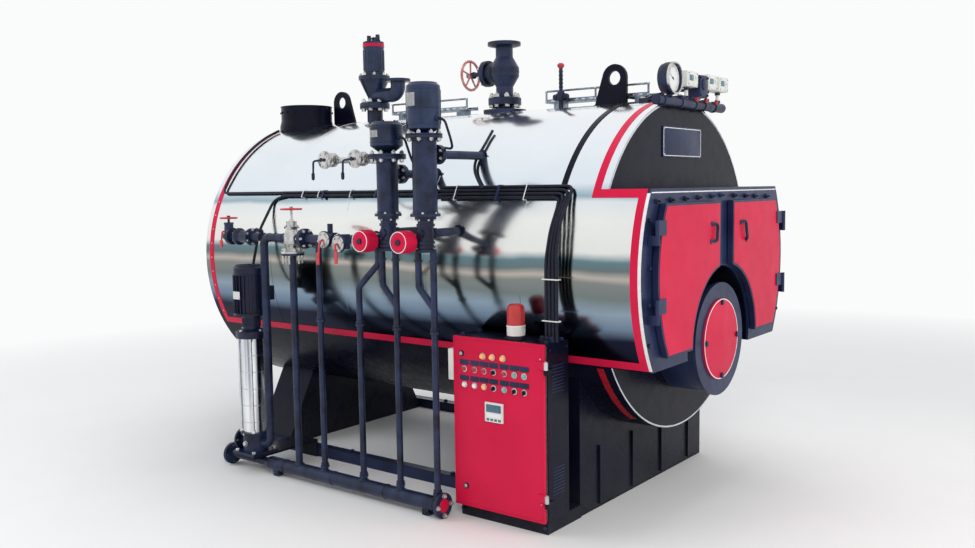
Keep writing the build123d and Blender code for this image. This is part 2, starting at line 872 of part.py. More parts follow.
def drain_valve(drum_x, chamber_x):
    # A small valve on a level branch from the chamber's cross.
    z = axis_height + drum_level
    body = rod((drum_x, side_line, z), (chamber_x - cluster_radius, side_line, z), vent_pipe + fit_gap)
    body += rod((drum_x, side_line + drum_body, z), (drum_x, side_line - drum_body, z), drum_body)
    body += rod((drum_x, side_line, z), (drum_x, -drum_front - drum_nut_thick, z), drum_stem)
    body += rod((drum_x, -drum_front - fit_gap, z), (drum_x, -drum_front - fit_gap - drum_nut_thick, z), drum_nut)
    body += rod((drum_x, side_line, z - drum_body), (drum_x, side_line, z + drum_body), drum_body * grip_share)
    return body


def drum_wheel(drum_x):
    # A cupped wheel: a rim band, a web and a hub.
    web = drum_radius - drum_rim_wall
    profile = [(drum_stem + fit_gap, 0), (drum_nut, 0), (drum_nut, drum_depth - drum_web), (web, drum_depth - drum_web),
               (web, 0), (drum_radius, 0), (drum_radius, drum_depth - drum_rim_wall), (web, drum_depth),
               (drum_stem + fit_gap, drum_depth)]
    return turned(profile, (drum_x, -drum_front + drum_depth, axis_height + drum_level), (0, -1, 0))


# Gauge cocks on the line to the rear chamber
cock_level = 587
rear_cock_x = -12
front_cock_x = 216
cock_pipe = 13
cock_body = 38
cock_half = 42
cock_nut = 26
cock_cover = 48
cock_cover_thick = 10
cock_cover_reach = 50
cock_start = -110


def gauge_cocks():
    z = axis_height + cock_level
    elbow = [(rear_chamber_x - rear_chamber_flange, side_line, z), (cock_start, side_line, z),
             (cock_start, -stub_depth, z)]
    line = seated(bent_pipe(elbow, cock_pipe, 2 * cock_pipe))
    for x in (rear_cock_x, front_cock_x):
        profile = [(0, 0), (cock_nut, 0), (cock_body, cock_half / 2), (cock_body, 1.5 * cock_half), (cock_nut, 2 * cock_half),
                   (0, 2 * cock_half)]
        line += turned(profile, (x - cock_half, side_line, z), along_x)
        line += round_cover(x, z)
    return line


def round_cover(x, z):
    # A neck with a round cover plate, facing away from the barrel.
    face = side_line - cock_cover_reach
    return rod((x, side_line, z), (x, face, z), cock_nut) + rod((x, face + cock_cover_thick, z), (x, face, z), cock_cover)


# Feed line from the pump into the barrel
feed_pipe = 24
feed_x = -345
feed_body = 47
feed_body_low = 92
feed_body_high = 214
feed_bonnet = 30
feed_bonnet_high = 255
feed_stem = 7
feed_wheel_level = 323
feed_wheel = 62
feed_wheel_rim = 5
feed_hub = 11
feed_hub_length = 14
feed_nut = 10
feed_nut_thick = 7
feed_spokes = 4
feed_flange = 66
feed_flange_thick = 12
feed_flange_level = 76
feed_side_flange_x = -250
outlet_valve_x = -34
outlet_valve_body = 45
outlet_valve_high = 245
feed_turn_x = 76
branch_valve_drop = 19
check_x = -755
check_half = 62
check_body = 50
inlet_flange_x = -890
gate_x = -955
gate_high = 238
gate_wheel_level = 268
pump_riser_x = -590


def feed_valve_body():
    low = axis_height + feed_flange_level
    profile = [(0, 0), (feed_flange, 0), (feed_flange, feed_flange_thick),
               (feed_bonnet, feed_body_low - feed_flange_level + feed_flange_thick),
               (feed_body, feed_level - feed_flange_level - feed_bonnet),
               (feed_body, feed_level - feed_flange_level + feed_flange_thick),
               (feed_bonnet, feed_body_high - feed_flange_level), (feed_bonnet, feed_bonnet_high - feed_flange_level),
               (feed_nut, feed_bonnet_high - feed_flange_level), (feed_nut, feed_bonnet_high - feed_flange_level + feed_nut),
               (0, feed_bonnet_high - feed_flange_level + feed_nut)]
    body = turned(profile, (feed_x, side_line, low), up)
    wheel_z = axis_height + feed_wheel_level
    body += rod((feed_x, side_line, axis_height + feed_body_high), (feed_x, side_line, wheel_z + feed_hub_length), feed_stem)
    nut_z = wheel_z + feed_hub_length / 2 + fit_gap
    return body + rod((feed_x, side_line, nut_z), (feed_x, side_line, nut_z + feed_nut_thick), feed_nut)


def feed_valve_wheel():
    return handwheel((feed_x, side_line, axis_height + feed_wheel_level), up, feed_wheel, feed_wheel_rim,
                     feed_hub, feed_hub_length, feed_stem + fit_gap, feed_spokes)


def feed_line():
    # Pump riser, cross line and the branch through the outlet valve into the barrel.
    z = axis_height + feed_level
    low = pump_port_height
    riser = bent_pipe([(pump_x + pump_base, side_line, low), (pump_riser_x, side_line, low), (pump_riser_x, side_line, z),
                       (feed_x - feed_body * grip_share, side_line, z)], feed_pipe, 2 * feed_pipe)
    branch = bent_pipe([(feed_x + feed_body * grip_share, side_line, z), (feed_turn_x, side_line, z),
                        (feed_turn_x, -stub_depth, z)], feed_pipe, feed_pipe * elbow_share)
    plates = []
    for x in (feed_side_flange_x, feed_side_flange_x + feed_flange_thick):
        plates.append(rod((x, side_line, z), (x + feed_flange_thick, side_line, z), feed_flange * plate_share))
    pipes = riser + seated(branch) + plates[0] + plates[1] - feed_valve_body()
    return pipes + inlet_line() + outlet_valve() + gate_valve()


grip_share = 0.8
plate_share = 0.85


def check_valve():
    # A stubby flanged body on the branch to the rear inlet.
    z = axis_height + feed_level
    profile = [(feed_pipe, 0), (check_body, 0), (check_body, feed_flange_thick), (feed_pipe * 1.5, 2 * feed_flange_thick),
               (feed_pipe * 1.5, 2 * check_half - 2 * feed_flange_thick), (check_body, 2 * check_half - feed_flange_thick),
               (check_body, 2 * check_half), (feed_pipe, 2 * check_half)]
    return turned(profile, (check_x - check_half, side_line, z), along_x)


def inlet_line():
    # From the pump riser through the check valve and gate valve into the rear of the barrel.
    z = axis_height + feed_level
    line = bent_pipe([(pump_riser_x - 2 * feed_pipe, side_line, z), (gate_x, side_line, z),
                      (gate_x, -stub_depth, z)], feed_pipe, feed_pipe * elbow_share)
    line = seated(line)
    line += rod((inlet_flange_x, side_line, z), (inlet_flange_x + 2 * feed_flange_thick, side_line, z), check_body)
    line += rod((pump_riser_x - 2 * feed_pipe, side_line, z), (pump_riser_x - feed_pipe, side_line, z), feed_pipe)
    return line - rod((pump_riser_x, side_line, axis_height - cut_over), (pump_riser_x, side_line, z + jacket_thick), feed_pipe)


def gate_x_of_stem():
    return gate_x + 2 * feed_pipe


def gate_valve():
    # The upright bonnet of the inlet valve with its spindle.
    z = axis_height + feed_level
    hub_top = gate_wheel_level - feed_level + feed_hub_length / 2 + fit_gap
    profile = [(0, 0), (feed_bonnet, 0), (feed_bonnet * plate_share, gate_high - feed_level), (feed_stem, gate_high - feed_level),
               (feed_stem, hub_top), (feed_nut, hub_top), (feed_nut, hub_top + feed_nut_thick), (0, hub_top + feed_nut_thick)]
    body = turned(profile, (gate_x_of_stem(), side_line, z), up)
    return body - rod((gate_x, side_line, z), (check_x, side_line, z), feed_pipe)


def inlet_valve_wheel():
    return handwheel((gate_x_of_stem(), side_line, axis_height + gate_wheel_level), up, feed_wheel * plate_share, feed_wheel_rim,
                     feed_hub, feed_hub_length, feed_stem + fit_gap, feed_spokes)


def outlet_valve():
    # Two small valves on the branch, each with a round cover, and a bonnet on the first.
    z = axis_height + feed_level
    first = rod((outlet_valve_x - outlet_valve_body, side_line, z), (outlet_valve_x + outlet_valve_body, side_line, z), cock_body)
    first += round_cover(outlet_valve_x, z)
    first += rod((outlet_valve_x, side_line, z), (outlet_valve_x, side_line, axis_height + outlet_valve_high), feed_bonnet / 2)
    low = z - branch_valve_drop
    second = rod((feed_turn_x, side_line, z + feed_bonnet), (feed_turn_x, side_line, low - feed_bonnet), feed_bonnet)
    return first + second + round_cover(feed_turn_x, low)


def feed_riser():
    # The upright pipe under the feed stop valve down to the drain header, with its flange.
    top = axis_height + feed_flange_level
    pipe = rod((feed_x, side_line, header_level), (feed_x, side_line, top), feed_pipe * plate_share)
    pipe += rod((feed_x, side_line, top - feed_flange_thick), (feed_x, side_line, top), feed_flange)
    return pipe - header_space()


# Feed pump: an upright multistage pump with its motor on top
pump_x = -730
pump_base = 72
pump_port_height = 175
pump_foot_height = 110
pump_base_top = 240
pump_sleeve = 68
pump_sleeve_top_drop = 436
pump_head_top_drop = 395
pump_head = 84
pump_coupling = 52
pump_coupling_top_drop = 300
pump_motor = 88
pump_fin = 99
pump_fin_count = 24
pump_fin_thick = 4
pump_motor_top_drop = 62
pump_cowl_top_drop = 8
pump_cowl = 96
pump_flange = 66
pump_flange_thick = 14
pump_flange_circle = 100
pump_flange_hole = 14
pump_bore = 32
pump_port = 22
pump_port_reach = 118
pump_head_lip = 7
pump_foot_half = 95
pump_foot_thick = 14
terminal_depth = 46
terminal_half = 42


def pump_turned(profile):
    # Heights in the profile are drops below the boiler axis.
    points = [(radius, axis_height - drop) for radius, drop in profile]
    return turned(points, (pump_x, side_line, 0), up)


def pump_foot():
    # The cast base with its suction port towards the rear and its delivery port forward.
    z = pump_port_height
    low = pump_foot_height
    profile = [(0, low + pump_foot_thick), (pump_base, low + pump_foot_thick), (pump_base, pump_base_top - pump_foot_thick),
               (pump_head, pump_base_top - pump_foot_thick), (pump_head, pump_base_top), (0, pump_base_top)]
    body = turned(profile, (pump_x, side_line, 0), up)
    body += block((pump_x - pump_foot_half, side_line - pump_foot_half, low),
                  (pump_x + pump_foot_half, side_line + pump_foot_half, low + pump_foot_thick))
    face_x = pump_x - pump_port_reach
    body += rod((pump_x, side_line, z), (face_x, side_line, z), pump_port + pump_foot_thick / 2)
    body += flange((face_x + pump_flange_thick, side_line, z), (-1, 0, 0), 2 * pump_flange, pump_flange_thick,
                   pump_flange_circle, port_bolts, pump_flange_hole)
    return body - rod((pump_x, side_line, z), (face_x, side_line, z), pump_bore / 2)


port_bolts = 4


def pump_sleeve_body():
    # The bright stage casing between the base and the head.
    return rod((pump_x, side_line, pump_base_top), (pump_x, side_line, axis_height - pump_sleeve_top_drop), pump_sleeve)


def pump_coupling_body():
    return pump_turned([(0, pump_sleeve_top_drop), (pump_head + pump_head_lip, pump_sleeve_top_drop),
                        (pump_head + pump_head_lip, pump_head_top_drop), (pump_coupling, pump_head_top_drop - pump_foot_thick),
                        (pump_coupling, pump_coupling_top_drop), (0, pump_coupling_top_drop)])


def pump_motor_body():
    # A finned frame between two end rings, a fan cowl and a terminal box towards the barrel.
    body = pump_turned([(0, pump_coupling_top_drop), (pump_fin, pump_coupling_top_drop),
                        (pump_fin, pump_coupling_top_drop - pump_foot_thick), (pump_motor, pump_coupling_top_drop - pump_foot_thick),
                        (pump_motor, pump_motor_top_drop), (pump_cowl, pump_motor_top_drop),
                        (pump_cowl, pump_cowl_top_drop + pump_foot_thick),
                        (pump_cowl - pump_foot_thick, pump_cowl_top_drop), (0, pump_cowl_top_drop)])
    fin_height = pump_coupling_top_drop - pump_foot_thick - pump_motor_top_drop
    fin = block((0, -pump_fin_thick / 2, 0), (pump_fin, pump_fin_thick / 2, fin_height))
    foot = Pos(pump_x, side_line, axis_height - pump_coupling_top_drop + pump_foot_thick)
    for turn in range(pump_fin_count):
        body += foot * Rot(0, 0, 360 / pump_fin_count * turn) * fin
    box_low = axis_height - (pump_coupling_top_drop + pump_motor_top_drop) / 2 - terminal_half
    body += block((pump_x - terminal_half, side_line, box_low),
                  (pump_x + terminal_half, side_line + pump_fin + terminal_depth, box_low + 2 * terminal_half))
    return body


def pump_bracket():
    # A shelf welded to the skid rail carries the pump.
    high = pump_foot_height
    near = -rear_saddle_foot_half - rail_width
    shelf = block((pump_x - pump_foot_half, side_line - pump_foot_half, high - pump_foot_thick),
                  (pump_x + pump_foot_half, near, high))
    web = block((pump_x - pump_foot_half, near - pump_foot_thick, 0), (pump_x + pump_foot_half, near, high - pump_foot_thick))
    return shelf + web


# Drain header along the floor
header_level = 67
header_radius = 38
header_start = -590
header_end = 722
header_thin = 24
header_thin_start = -960
header_flange = 65
header_flange_thick = 18
header_shoe = 40
leg_radius = 17

header_line = side_line


def header_space():
    return rod((header_thin_start, header_line, header_level), (header_end, header_line, header_level), header_radius)


def drain_header():
    pipe = rod((header_start, header_line, header_level), (header_end, header_line, header_level), header_radius)
    pipe += turned([(0, 0), (header_thin, 0), (header_radius, header_radius), (0, header_radius)],
                   (header_start - header_radius, header_line, header_level), along_x)
    pipe += rod((header_thin_start, header_line, header_level), (header_start - header_radius, header_line, header_level), header_thin)
    pipe += flange((header_thin_start + header_flange_thick, header_line, header_level), (-1, 0, 0), 2 * header_flange,
                   header_flange_thick, header_circle, port_bolts, header_hole)
    for x in (header_start + header_radius, header_end - 3 * header_radius):
        pipe += block((x, header_line - header_shoe / 2, 0), (x + header_shoe, header_line + header_shoe / 2, header_level))
    mouth = rod((header_thin_start, header_line, header_level), (header_start, header_line, header_level), header_bore)
    return pipe - mouth


header_circle = 100
header_hole = 14
header_bore = 18


def header_blank():
    # The red blank flange at the cabinet end.
    return flange((header_end, header_line, header_level), along_x, 2 * header_flange, header_flange_thick,
                  header_circle, port_bolts, header_hole)


def straight_leg(x, top):
    return rod((x, side_line, header_level), (x, side_line, axis_height + top), leg_radius) - header_space()


def merged_leg(x, top, branch_x, join):
    # An upright drain with a second branch that slants into it.
    leg = straight_leg(x, top)
    turn = axis_height + join + leg_radius * merge_share
    branch = bent_pipe([(branch_x, side_line, axis_height + top), (branch_x, side_line, turn),
                        (x, side_line, axis_height + join - leg_radius * merge_share)], leg_radius, 2 * leg_radius)
    return leg + branch


merge_share = 3
rear_leg_x = 445
front_leg_x = 700
rear_branch_x = 350
front_branch_x = 600
leg_top = 112
leg_join = -120
drum_leg_x = 175
drum_leg_bend = 100
drum_leg_join = 230
feed_leg_x = -130


def drain_legs():
    z = axis_height + feed_level
    first = rod((feed_leg_x, side_line, header_level), (feed_leg_x, side_line, z), leg_radius) - header_space()
    first -= rod((feed_leg_x - feed_pipe, side_line, z), (feed_leg_x + feed_pipe, side_line, z), feed_pipe)
    start = axis_height + drum_level - drum_body
    second = bent_pipe([(rear_drum_x, side_line, start), (rear_drum_x, side_line, start - drum_leg_bend),
                        (drum_leg_x, side_line, start - drum_leg_join), (drum_leg_x, side_line, header_level)],
                       leg_radius, 2 * leg_radius) - header_space()
    third = merged_leg(rear_leg_x, leg_top, rear_branch_x, leg_join)
    return feed_riser() + first + second + third + merged_leg(front_leg_x, leg_top, front_branch_x, leg_join)


# Control cabinet, standing beside the front saddle
cabinet_lead = 20
cabinet_width = 555
cabinet_gap = 140
cabinet_depth = 182
cabinet_low = 66
cabinet_top_drop = 310
cabinet_wall = 15
cabinet_door_thick = 20
cabinet_door_gap = 6
cabinet_door_edge = 6
cabinet_hinge_side = 12
cabinet_hinge_front = 6
cabinet_barrel = 9
cabinet_pin = 4
cabinet_hinge_height = 62
cabinet_hinge_fixed = 24
cabinet_low_hinge = 148
cabinet_high_hinge_drop = 140
cabinet_strap = 32
plinth_set = 12
beacon_back = 224
beacon_inset = 60
beacon_radius = 58
beacon_base_height = 78
beacon_height = 175
beacon_foot = 12
stand_width = 60

cabinet_right = base_length / 2 + cabinet_lead
cabinet_left = cabinet_right - cabinet_width
cabinet_front = -jacket_radius - cabinet_gap
cabinet_back = cabinet_front + cabinet_depth
cabinet_high = axis_height - cabinet_top_drop
cabinet_high_hinge = cabinet_high - cabinet_high_hinge_drop
beacon_x = cabinet_right - beacon_back
beacon_y = cabinet_front + beacon_inset


def cabinet_door_front():
    return cabinet_front - cabinet_door_gap - cabinet_door_thick


def cabinet_hinge_axis():
    return cabinet_right + cabinet_hinge_side, cabinet_door_front() - cabinet_hinge_front


def cabinet_body():
    shell = block((cabinet_left, cabinet_front, cabinet_low), (cabinet_right, cabinet_back, cabinet_high))
    inside = block((cabinet_left + cabinet_wall, cabinet_front - cut_over, cabinet_low + cabinet_wall),
                   (cabinet_right - cabinet_wall, cabinet_back - cabinet_wall, cabinet_high - cabinet_wall))
    shell -= inside
    x, y = cabinet_hinge_axis()
    for low in (cabinet_low_hinge, cabinet_high_hinge):
        shell += block((cabinet_right, y, low), (x, cabinet_front + cabinet_strap, low + cabinet_hinge_fixed))
        shell += rod((x, y, low), (x, y, low + cabinet_hinge_fixed), cabinet_barrel)
        shell += rod((x, y, low), (x, y, low + cabinet_hinge_height), cabinet_pin)
    return shell


def cabinet_door():
    front = cabinet_door_front()
    edge = cabinet_right - cabinet_door_edge
    leaf = block((cabinet_left, front, cabinet_low), (edge, front + cabinet_door_thick, cabinet_high))
    leaf = fillet(leaf.edges().filter_by(Axis.Z), cabinet_pin)
    x, y = cabinet_hinge_axis()
    for base in (cabinet_low_hinge, cabinet_high_hinge):
        low = base + cabinet_hinge_fixed + fit_gap
        high = base + cabinet_hinge_height - fit_gap
        strap = block((edge - cabinet_strap, y - cabinet_pin, low), (x, front, high))
        knuckle = strap + rod((x, y, low), (x, y, high), cabinet_barrel)
        leaf += knuckle - rod((x, y, low - cut_over), (x, y, high + cut_over), cabinet_pin + fit_gap)
    return leaf


def cabinet_plinth():
    # The plinth under the cabinet and the stand that ties it to the skid.
    base = block((cabinet_left + plinth_set, cabinet_front + plinth_set, 0), (cabinet_right - plinth_set, cabinet_back, cabinet_low))
    near = -front_saddle_half
    for x in (cabinet_left + plinth_set, cabinet_right - plinth_set - stand_width):
        start = max(x, base_length / 2 - saddle_length)
        base += block((start, cabinet_back, 0), (start + stand_width, near, cabinet_low))
    return base


def beacon_base():
    z = cabinet_high
    profile = [(0, 0), (beacon_radius - beacon_foot, 0), (beacon_radius - beacon_foot, beacon_foot), (beacon_radius, beacon_foot),
               (beacon_radius, beacon_base_height), (0, beacon_base_height)]
    return turned(profile, (beacon_x, beacon_y, z), up)


def beacon_lens():
    z = cabinet_high + beacon_base_height
    height = beacon_height - beacon_base_height
    profile = [(0, 0), (beacon_radius - trim_proud, 0), (beacon_radius - trim_proud, height - 2 * beacon_foot),
               (beacon_radius - beacon_foot, height), (0, height)]
    return turned(profile, (beacon_x, beacon_y, z), up)


# Conduits clipped along the jacket and down to the cabinet
conduit_radius = 9
conduit_level = 400
conduit_pitch = 25
conduit_rear_start = -790
conduit_start = 470
conduit_turn_back = 216
conduit_turn_pitch = 27
conduit_bend = 60
conduit_stand = 14
conduit_inset = 80
conduit_low = -11
motor_conduit_x = -865
rear_conduit_radius = 7.5
rear_conduit_inset = 85
rear_conduit_rise = 42
rear_conduit_top_share = 0.38
rear_conduit_mid_shares = (0.62, 0.85)
clip_start = -430
clip_pitch = 430
clip_count = 4
clip_width = 16


def conduit_side(level):
    # How far out a conduit runs at this height above the boiler axis.
    return -sqrt((jacket_radius + band_proud + conduit_radius + conduit_stand) ** 2 - level ** 2)


def conduit(index):
    # A straight run along the barrel, then past its widest line and down into the cabinet's roof.
    level = conduit_level + index * conduit_pitch
    across = conduit_side(level)
    start = conduit_start if index else conduit_rear_start
    x = barrel_front - conduit_turn_back + index * conduit_turn_pitch
    entry = cabinet_front + conduit_inset
    points = [(start, across, axis_height + level), (x, across, axis_height + level), (x, entry, axis_height),
              (x, entry, cabinet_high)]
    return bent_pipe(points, conduit_radius, conduit_bend)


def conduit_clip(x):
    # A saddle block that holds the conduits off the jacket.
    low = conduit_level - conduit_pitch - 2 * conduit_radius
    high = conduit_level + conduit_pitch + 2 * conduit_radius
    return seated(block((x, conduit_side(low), axis_height + low), (x + clip_width, -stub_depth, axis_height + high)))


def motor_conduit():
    # From the motor's terminal box past the barrel's widest line up to the conduit run.
    low = axis_height - (pump_coupling_top_drop + pump_motor_top_drop) / 2 + terminal_half
    y = side_line + pump_fin + terminal_depth / 2
    high = conduit_level
    points = [(pump_x, y, low), (pump_x, y, axis_height - conduit_bend),
              (motor_conduit_x, conduit_side(conduit_low), axis_height + conduit_low),
              (motor_conduit_x, conduit_side(high / 2), axis_height + high / 2),
              (motor_conduit_x, conduit_side(high), axis_height + high),
              (conduit_rear_start + conduit_bend, conduit_side(high), axis_height + high)]
    return bent_pipe(points, conduit_radius, conduit_bend / 2)


def rear_conduit():
    # From beside the flue down the rear of the jacket and along to the start of the run.
    x = barrel_rear + rear_conduit_inset
    level = conduit_level + rear_conduit_rise
    out = -conduit_side(0)
    points = []
    for share in (rear_conduit_top_share, *rear_conduit_mid_shares):
        y = out * sqrt(1 - (level / out) ** 2) * share
        points.append((x, -y, axis_height + sqrt(out ** 2 - y ** 2)))
    points.append((x, conduit_side(level), axis_height + level))
    points.append((clip_start + clip_width, conduit_side(level), axis_height + level))
    return bent_pipe(points, rear_conduit_radius, conduit_bend / 2)


def conduits():
    bundle = conduit(0) + conduit(1) + conduit(-1) + motor_conduit() + rear_conduit()
    for place in range(clip_count):
        bundle += conduit_clip(clip_start + place * clip_pitch)
    return bundle


def node_list():
    return {
        "pressure_shell": pressure_shell(),
        "jacket_upper": jacket(-jacket_split_drop, jacket_radius),
        "jacket_lower": jacket(-jacket_radius, -jacket_split_drop),
        "front_tube_plate": front_tube_plate(),
        "rear_end_plate": rear_end_plate(),
        "rear_access_cover": rear_access_cover(),
        "jacket_trim": jacket_trim(),
        "jacket_bands": jacket_bands(),
        "rear_saddle": rear_saddle(),
        "front_saddle": front_saddle(),
        "skid_rails": skid_rail(1) + skid_rail(-1),
        "smokebox_casing": smokebox_casing(),
        "smokebox_jacket": smokebox_jacket(),
        "smokebox_frame": smokebox_frame(),
        "smokebox_door_right": smokebox_door(-1),
        "smokebox_door_left": smokebox_door(1),
        "burner_throat": burner_throat(),
        "burner_cover": burner_cover(),
        "lifting_lug_front": lifting_lug(front_lug_x, 1),
        "lifting_lug_rear": lifting_lug(rear_lug_x, -1),
        "flue_collar": flue_collar(),
        "cable_trays": cable_trays(),
        "safety_valve_nozzle": safety_nozzle_stub(),
        "safety_valve_body": safety_valve_body(),
        "safety_valve_bonnet": safety_valve_bonnet(),
        "steam_nozzle": steam_nozzle(),
        "main_valve_body": main_valve_body(),
        "main_valve_wheel": main_valve_wheel(),
        "vent_valve": vent_valve(),
        "instrument_manifold": instrument_manifold(),
        "pressure_gauge": pressure_gauge(),
        "pressure_switches": pressure_switches(),
        "pressure_limiter": pressure_limiter(),
        "level_chamber_rear": level_chamber(rear_chamber_x, rear_chamber_tube, rear_chamber_top, rear_chamber_flange,
                                            rear_upper_tap),
        "level_chamber_front": level_chamber(front_chamber_x, front_chamber_tube, front_chamber_top, front_chamber_flange,
                                             front_upper_tap),
        "level_heads": level_heads(),
        "drain_valve_rear": drain_valve(rear_drum_x, rear_chamber_x),
        "drain_valve_front": drain_valve(front_drum_x, front_chamber_x),
        "drain_wheel_rear": drum_wheel(rear_drum_x),
        "drain_wheel_front": drum_wheel(front_drum_x),
        "gauge_cocks": gauge_cocks(),
        "feed_line": feed_line(),
        "feed_valve_body": feed_valve_body(),
        "feed_valve_wheel": feed_valve_wheel(),
        "inlet_valve_wheel": inlet_valve_wheel(),
        "check_valve": check_valve(),
        "pump_foot": pump_foot(),
        "pump_sleeve": pump_sleeve_body(),
        "pump_coupling": pump_coupling_body(),
        "pump_motor": pump_motor_body(),
        "pump_bracket": pump_bracket(),
        "drain_header": drain_header(),
        "header_blank": header_blank(),
        "drain_pipes": drain_legs(),
        "cabinet_body": cabinet_body(),
        "cabinet_door": cabinet_door(),
        "cabinet_plinth": cabinet_plinth(),
        "beacon_base": beacon_base(),
        "beacon_lens": beacon_lens(),
        "conduits": conduits(),
    }


if __name__ == "__main__":
    os.makedirs("parts", exist_ok=True)
    saddle_middle = (base_length - saddle_length) / 2
    for name, shape in node_list().items():
        export_step(Pos(-saddle_middle, 0, 0) * shape, f"parts/{name}.step")
        print(name)
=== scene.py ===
import bpy
import bmesh
from math import sin, cos, asin, acos, pi, radians, sqrt
from mathutils import Vector, Matrix


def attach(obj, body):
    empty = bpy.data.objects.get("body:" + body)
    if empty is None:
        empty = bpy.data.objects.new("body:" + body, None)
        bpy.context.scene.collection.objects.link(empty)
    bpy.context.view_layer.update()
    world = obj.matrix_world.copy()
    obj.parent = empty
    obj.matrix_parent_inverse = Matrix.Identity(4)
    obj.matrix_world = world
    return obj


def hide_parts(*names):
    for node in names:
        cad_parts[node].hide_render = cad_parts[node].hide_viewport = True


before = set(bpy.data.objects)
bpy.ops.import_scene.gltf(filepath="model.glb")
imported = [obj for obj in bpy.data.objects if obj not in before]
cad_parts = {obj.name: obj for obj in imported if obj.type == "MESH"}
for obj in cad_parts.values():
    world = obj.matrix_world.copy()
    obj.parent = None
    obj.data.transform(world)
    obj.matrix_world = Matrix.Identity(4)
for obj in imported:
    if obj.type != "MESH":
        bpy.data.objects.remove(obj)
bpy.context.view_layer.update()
print("boiler frame is in")

axisZ = 1.24  # height of the barrel's axis above the floor
jacketR = 0.88
barrelFront = 0.36
barrelRear = -2.61
boxFront = 0.585  # front of the smokebox frame
doorFront = 0.62
burnerZ = 0.855
sideY = -1.12  # plane of the side fittings
cabinetY = -1.046  # front of the cabinet door


# finishes

paintedReflectionBands = dict(low=0.36, high=2.12, ripple=0.07, stops=(  # painted reflection: the colour the polished drum would mirror at each height, painted into the sheet
    (0.4, (0.006, 0.008, 0.02)), (0.94, (0.012, 0.016, 0.035)), (1.0, (0.18, 0.25, 0.34)),
    (1.08, (0.3, 0.38, 0.45)),
    (1.15, (0.2, 0.23, 0.22)), (1.22, (0.26, 0.27, 0.25)), (1.245, (0.55, 0.48, 0.42)), (1.28, (0.16, 0.2, 0.2)),
    (1.32, (0.14, 0.24, 0.27)),
    (1.36, (0.88, 0.87, 0.82)), (1.5, (0.93, 0.92, 0.87)), (1.585, (0.85, 0.87, 0.87)), (1.61, (0.36, 0.48, 0.54)),
    (1.635, (0.5, 0.62, 0.68)), (1.68, (0.86, 0.91, 0.95)), (1.9, (0.93, 0.96, 0.98)), (2.1, (0.97, 0.98, 0.99))))


def addNode(tree, kind, inputs=None, **settings):
    # a shader node with its settings and the values of its inputs
    node = tree.nodes.new("ShaderNode" + kind)
    for name, value in settings.items():
        setattr(node, name, value)
    for socket, value in (inputs or {}).items():
        node.inputs[socket].default_value = value
    return node


def addPaintedReflection(tree, coords, ripple, colour):
    # painted reflection: bands of colour by height multiplied into the sheet's colour, their edges wavy as on rolled
    # cladding
    low, high, wave, stops = (paintedReflectionBands[key] for key in ("low", "high", "ripple", "stops"))
    link = tree.links.new
    split = addNode(tree, "SeparateXYZ")
    link(coords.outputs["Object"], split.inputs["Vector"])
    wavy = addNode(tree, "Math", {1: wave}, operation="MULTIPLY_ADD")
    link(ripple, wavy.inputs[0])
    link(split.outputs["Z"], wavy.inputs[2])
    spread = addNode(tree, "MapRange", {"From Min": low, "From Max": high})
    link(wavy.outputs["Value"], spread.inputs["Value"])
    reflectionTones = addNode(tree, "ValToRGB")
    while len(reflectionTones.color_ramp.elements) < len(stops):
        reflectionTones.color_ramp.elements.new(0.5)
    for element, (height, tone) in zip(reflectionTones.color_ramp.elements, stops):
        element.position = (height + wave / 2 - low) / (high - low)
        element.color = (*tone, 1)
    link(spread.outputs["Result"], reflectionTones.inputs["Fac"])
    mix = addNode(tree, "Mix", {"Factor": 1.0}, data_type="RGBA", blend_type="MULTIPLY")
    link(colour, mix.inputs["A"])
    link(reflectionTones.outputs["Color"], mix.inputs["B"])
    return mix.outputs["Result"]


